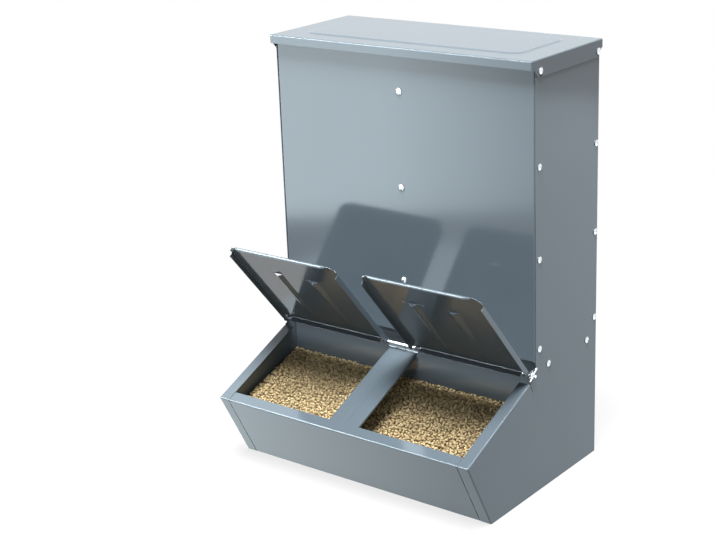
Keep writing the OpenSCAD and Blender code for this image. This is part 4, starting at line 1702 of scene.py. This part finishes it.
    def build_pellets(
        self, name: str, box: tuple[Place, Place], layers: Sequence[tuple[float, float, float]]
    ) -> bpy.types.Object:
        """Scatter pellets over part of the surface.

        Args:
            name: Name of the piece.
            box: Lowest and highest X and Y of that part.
            layers: Height above the surface, spacing and tone of each layer.

        Returns:
            The pellets as one mesh.
        """
        base, faces = self._pellet()
        rng = np.random.default_rng(self.seed + len(name))
        verts, tones = [], []
        tilt = Matrix.Rotation(self.slope, 3, "X")
        for lift, pitch, tone in layers:
            for x, y in self._spots(rng, box, pitch):
                yaw, roll = rng.uniform(0.0, math.tau, 2)
                pitched = Matrix.Rotation(rng.normal(0.0, self.tumble), 3, "Y")
                turn = tilt @ (Matrix.Rotation(yaw, 3, "Z") @ pitched) @ Matrix.Rotation(roll, 3, "X")
                length = np.array([rng.uniform(*self.length_range), 1.0, 1.0])
                size = length * rng.uniform(*self.size_range)
                centre = np.array([x, y, self._surface(y) + lift + rng.normal(0.0, self.settle)])
                verts.append((base * size) @ np.array(turn).T + centre)
                own_tone = np.clip(rng.normal(tone, self.tone_spread), self.tone_least, 1.0)
                tones.append(np.full(len(base), own_tone))
        count = len(base)
        copied = [
            tuple(index + count * copy for index in face) for copy in range(len(verts)) for face in faces
        ]
        mesh = bpy.data.meshes.new(name)
        mesh.from_pydata(np.concatenate(verts).tolist(), [], copied)
        mesh.polygons.foreach_set("use_smooth", [True] * len(copied))
        obj = bpy.data.objects.new(name, mesh)
        bpy.context.scene.collection.objects.link(obj)
        self._tone(obj, np.concatenate(tones))
        return obj

    def build(self) -> list[bpy.types.Object]:
        """Fill the heap and its bank, and scatter pellets over both and in the throat.

        Returns:
            The heap, the bank and the pellets of the left side, the right side and the throat.
        """
        low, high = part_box("feed_bed")
        half = high.x - self.wall_gap
        front = low.y + self.pellet_l / 2
        bank_rear = self.sizes.baffle_y - self.pellet_l / 2
        bank_front = front + self.bank
        throat = self.sizes.baffle_y + self.throat_in
        rear = high.y - self.rear_gap
        edge = half - self.pellet_l / 2
        layers = [(lift, self.spacing * share, tone) for lift, share, tone in self.layers]
        raised = [(self.bank + lift, pitch, tone) for lift, pitch, tone in layers]
        bank = self._bank_outline(bank_front, bank_rear)
        return [
            self._fill("feed_heap", self._heap_outline(), (-half, half)),
            self._fill("feed_bank", bank, (-half, self.bank_end)),
            self.build_pellets("feed_left", ((-edge, bank_front), (self.bank_end, bank_rear)), raised),
            self.build_pellets("feed_right", ((self.bank_end, front), (edge, throat)), layers),
            self.build_pellets("feed_throat", ((-edge, throat), (edge, rear)), layers[:1]),
        ]


@dataclass(frozen=True)
class StudioCamera:
    """Camera at the photograph's viewing angle."""

    azimuth: float = 38.4373
    elevation: float = 18.5834
    roll: float = -2.2271
    lens: float = 78.30
    sensor: float = 36.0
    place: tuple[float, float, float] = (1.72092, -2.31588, 1.37067)

    def build(self) -> None:
        """Set up the scene's camera."""
        azimuth, elevation, roll = (math.radians(a) for a in (self.azimuth, self.elevation, self.roll))
        level = math.cos(elevation)
        back = Vector((math.sin(azimuth) * level, -math.cos(azimuth) * level, math.sin(elevation)))
        right = Vector((math.cos(azimuth), math.sin(azimuth), 0.0))
        up = back.cross(right)
        right_rolled = right * math.cos(roll) + up * math.sin(roll)
        up_rolled = up * math.cos(roll) - right * math.sin(roll)
        data = bpy.data.cameras.new("studio_camera")
        data.lens = self.lens
        data.sensor_width = self.sensor
        camera = bpy.data.objects.new("studio_camera", data)
        bpy.context.scene.collection.objects.link(camera)
        turn = Matrix((right_rolled, up_rolled, back)).transposed()
        camera.matrix_world = Matrix.Translation(self.place) @ turn.to_4x4()
        bpy.context.scene.camera = camera


@dataclass(frozen=True)
class SoftLamp:
    """A square soft lamp that looks at a point."""

    name: str
    place: tuple[float, float, float]
    target: tuple[float, float, float]
    size: float
    watts: float
    shine: bool = True

    def build(self) -> None:
        """Hang the lamp."""
        data = bpy.data.lights.new(self.name, "AREA")
        data.shape = "SQUARE"
        data.size = self.size
        data.energy = self.watts
        lamp = bpy.data.objects.new(self.name, data)
        bpy.context.scene.collection.objects.link(lamp)
        way = Vector(self.target) - Vector(self.place)
        turn = way.to_track_quat("-Z", "Y").to_matrix().to_4x4()
        lamp.matrix_world = Matrix.Translation(self.place) @ turn
        lamp.visible_glossy = self.shine


@dataclass(frozen=True)
class GlossCard:
    """A pale card that only reflections show, with a tone that drifts across it.

    The turn is in degrees about X, Y and Z. The drift says where the two tones lie, in widths of the card.
    Rays that have bounced more often than the limit find the card black.
    """

    name: str
    place: tuple[float, float, float]
    turn: tuple[float, float, float]
    span: tuple[float, float]
    tones: tuple[float, float]
    drift: tuple[float, float] = (-0.5, 0.5)
    tint: tuple[float, float, float, float] = (0.82, 0.94, 1.0, 1.0)
    bounce_limit: float = 1.5

    def build(self) -> None:
        """Put the card up."""
        set_down()
        turn = [math.radians(angle) for angle in self.turn]
        bpy.ops.mesh.primitive_plane_add(size=1.0, location=self.place, rotation=turn)
        card = bpy.context.active_object
        card.name = self.name
        card.scale = (*self.span, 1.0)
        material, desk, shader = new_material(self.name)
        black = (0.0, 0.0, 0.0, 1.0)
        across = desk.add("ShaderNodeSeparateXYZ")
        desk.put(across, Vector=desk.add("ShaderNodeTexCoord").outputs["Object"])
        ramp = desk.add("ShaderNodeMapRange")
        desk.put(ramp, Value=across.outputs["X"], From_Min=self.drift[0], From_Max=self.drift[1])
        desk.put(ramp, To_Min=self.tones[0], To_Max=self.tones[1])
        desk.put(shader, Base_Color=black, Specular_IOR_Level=0.0, Emission_Color=self.tint)
        depth = desk.add("ShaderNodeLightPath").outputs["Ray Depth"]
        first = desk.math("LESS_THAN", depth, self.bounce_limit)
        desk.put(shader, Emission_Strength=desk.math("MULTIPLY", ramp.outputs["Result"], first))
        material.cycles.emission_sampling = "NONE"
        card.data.materials.append(material)
        card.visible_camera = False
        card.visible_diffuse = False
        card.visible_shadow = False


@dataclass(frozen=True)
class Studio:
    """Pale floor, soft lamps, gloss cards, and the light of the room."""

    floor_size: float = 40.0
    floor_drop: float = 0.0005
    floor_tone: float = 0.82
    floor_bounce: float = 0.15
    floor_shadow: float = 0.2
    white_from: float = 0.5
    white_at: float = 1.5
    room: tuple[float, float, float, float] = (1.0, 1.0, 1.0, 1.0)
    room_light: float = 0.16

    def _seen(self, desk: NodeDesk) -> bpy.types.NodeSocket:
        """Mask the rays that show the background: from the camera, gloss or glass.

        Args:
            desk: Desk of the tree that the mask goes into.

        Returns:
            The mask's socket.
        """
        path = desk.add("ShaderNodeLightPath").outputs
        both = desk.math("MAXIMUM", path["Is Camera Ray"], path["Is Glossy Ray"])
        return desk.math("MAXIMUM", both, path["Is Transmission Ray"])

    def _floor(self) -> None:
        """Lay the floor, white to the camera apart from the object's soft shadow."""
        set_down()
        bpy.ops.mesh.primitive_plane_add(size=self.floor_size, location=(0.0, 0.0, -self.floor_drop))
        floor = bpy.context.active_object
        floor.name = "studio_floor"
        material, desk, shader = new_material("pale_floor")
        seen = self._seen(desk)
        tone = desk.spread(seen, self.floor_bounce, self.floor_tone)
        desk.put(shader, Base_Color=tone, Roughness=1.0, Specular_IOR_Level=0.0)
        glow = desk.put(desk.add("ShaderNodeEmission"), Color=(1.0, 1.0, 1.0, 1.0), Strength=1.0)
        away = desk.add("ShaderNodeVectorMath", operation="LENGTH")
        desk.put(away, Vector=desk.add("ShaderNodeTexCoord").outputs["Object"])
        fade = desk.add("ShaderNodeMapRange")
        desk.put(fade, Value=away.outputs["Value"], From_Min=self.white_from, From_Max=self.white_at)
        desk.put(fade, To_Min=1.0 - self.floor_shadow, To_Max=1.0)
        share = desk.math("MULTIPLY", seen, fade.outputs["Result"])
        mixed = desk.add("ShaderNodeMixShader")
        for socket, value in zip(mixed.inputs, (share, shader.outputs[0], glow.outputs[0])):
            desk.wire(socket, value)
        desk.put(material.node_tree.nodes["Material Output"], Surface=mixed.outputs[0])
        floor.data.materials.append(material)

    def _room(self) -> None:
        """Light the room evenly, and show it white in gloss."""
        world = bpy.data.worlds.new("studio_room")
        bpy.context.scene.world = world
        world.use_nodes = True
        desk = NodeDesk(world.node_tree)
        strength = desk.spread(self._seen(desk), self.room_light, 1.0)
        desk.put(world.node_tree.nodes["Background"], Color=self.room, Strength=strength)

    def build(self) -> None:
        """Set up floor, room, cards, lamps and view."""
        self._floor()
        self._room()
        cards = (
            GlossCard(
                "front_card", place=(-1.05, -1.35, 0.5), turn=(90.0, 0.0, -36.6), span=(2.4, 1.0),
                tones=(7.4, 2.8), drift=(0.0, 0.22),
            ),
            GlossCard(
                "near_card", place=(-0.35, -0.66, -0.0001), turn=(0.0, 0.0, 0.0), span=(1.3, 1.12),
                tones=(3.0, 1.7), drift=(-0.01, 0.435),
            ),
            GlossCard(
                "side_card", place=(1.34, 1.1, -0.0003), turn=(0.0, 0.0, 51.56), span=(4.0, 1.6),
                tones=(1.4, 2.1), drift=(-0.4, 0.3),
            ),
            GlossCard(
                "brow_card", place=(-1.05, -1.1, 1.35), turn=(48.0, 0.0, -52.6), span=(1.4, 1.0),
                tones=(28.0, 28.0),
            ),
            GlossCard(
                "crown_card", place=(0.55, 0.4, 2.6), turn=(0.0, 0.0, 0.0), span=(1.2, 0.9),
                tones=(18.0, 18.0),
            ),
            GlossCard(
                "lip_card", place=(-0.65, -0.07, 1.0), turn=(0.0, 0.0, 0.0), span=(1.1, 0.2),
                tones=(3.0, 3.4),
            ),
        )
        lamps = (
            SoftLamp("key_lamp", place=(0.93, -1.9, 6.3), target=(0.0, -0.05, 0.4), size=2.4, watts=700.0),
            SoftLamp(
                "back_lamp", place=(-1.0, 2.4, 2.4), target=(0.0, 0.2, 0.4), size=1.6, watts=45.0,
                shine=False,
            ),
        )
        for fitting in (*cards, *lamps):
            fitting.build()
        bpy.context.scene.view_settings.view_transform = "Standard"


def dress_fittings(wardrobe: Wardrobe) -> None:
    """Give every node that stays in view its finish.

    Args:
        wardrobe: The feeder's finishes.
    """
    slots = {row["node"]: Slot(row["material_slot"]) for row in frame["record"]["subparts"]}
    for name, node in frame["nodes"].items():
        wardrobe.dress(node, slots[name])
        LOG.info("%s: dressed in %s", name, slots[name].value)


def main() -> None:
    """Build the studio and every sub-assembly in order."""
    logging.basicConfig(level=logging.INFO, format="%(name)s: %(message)s")
    sizes = FeederSizes.from_frame()
    StudioCamera().build()
    Studio().build()
    wardrobe = Wardrobe()
    dress_fittings(wardrobe)
    panels = HopperPanels(sizes)
    body = "feeder_body"
    wardrobe.hand_over(panels.build_front(), Slot.ENAMEL, body, "front_panel")
    wardrobe.hand_over(panels.build_back(), Slot.ENAMEL, body, "back_panel")
    for side in Side:
        word = side.name.lower()
        wardrobe.hand_over(SidePanel(sizes, side).build(), Slot.ENAMEL, body, f"{word}_side_panel")
        lid = TroughLid(sizes, side).build()
        wardrobe.hand_over(lid, Slot.ENAMEL, f"{word}_flap", f"{word}_trough_lid")
    wardrobe.hand_over(TroughPan(sizes).build(), Slot.ENAMEL, body, "trough_pan")
    wardrobe.hand_over(TroughDivider(sizes).build(), Slot.ENAMEL, body, "trough_divider")
    wardrobe.hand_over(TopLid(sizes).build(), Slot.ENAMEL, "hopper_lid", "top_lid")
    heap, *pellets = FeedFill(sizes).build()
    wardrobe.hand_over(heap, Slot.FEED, body, "feed_bed")
    for piece in pellets:
        wardrobe.hand_over(piece, Slot.FEED, body)


if __name__ == "__main__":
    main()
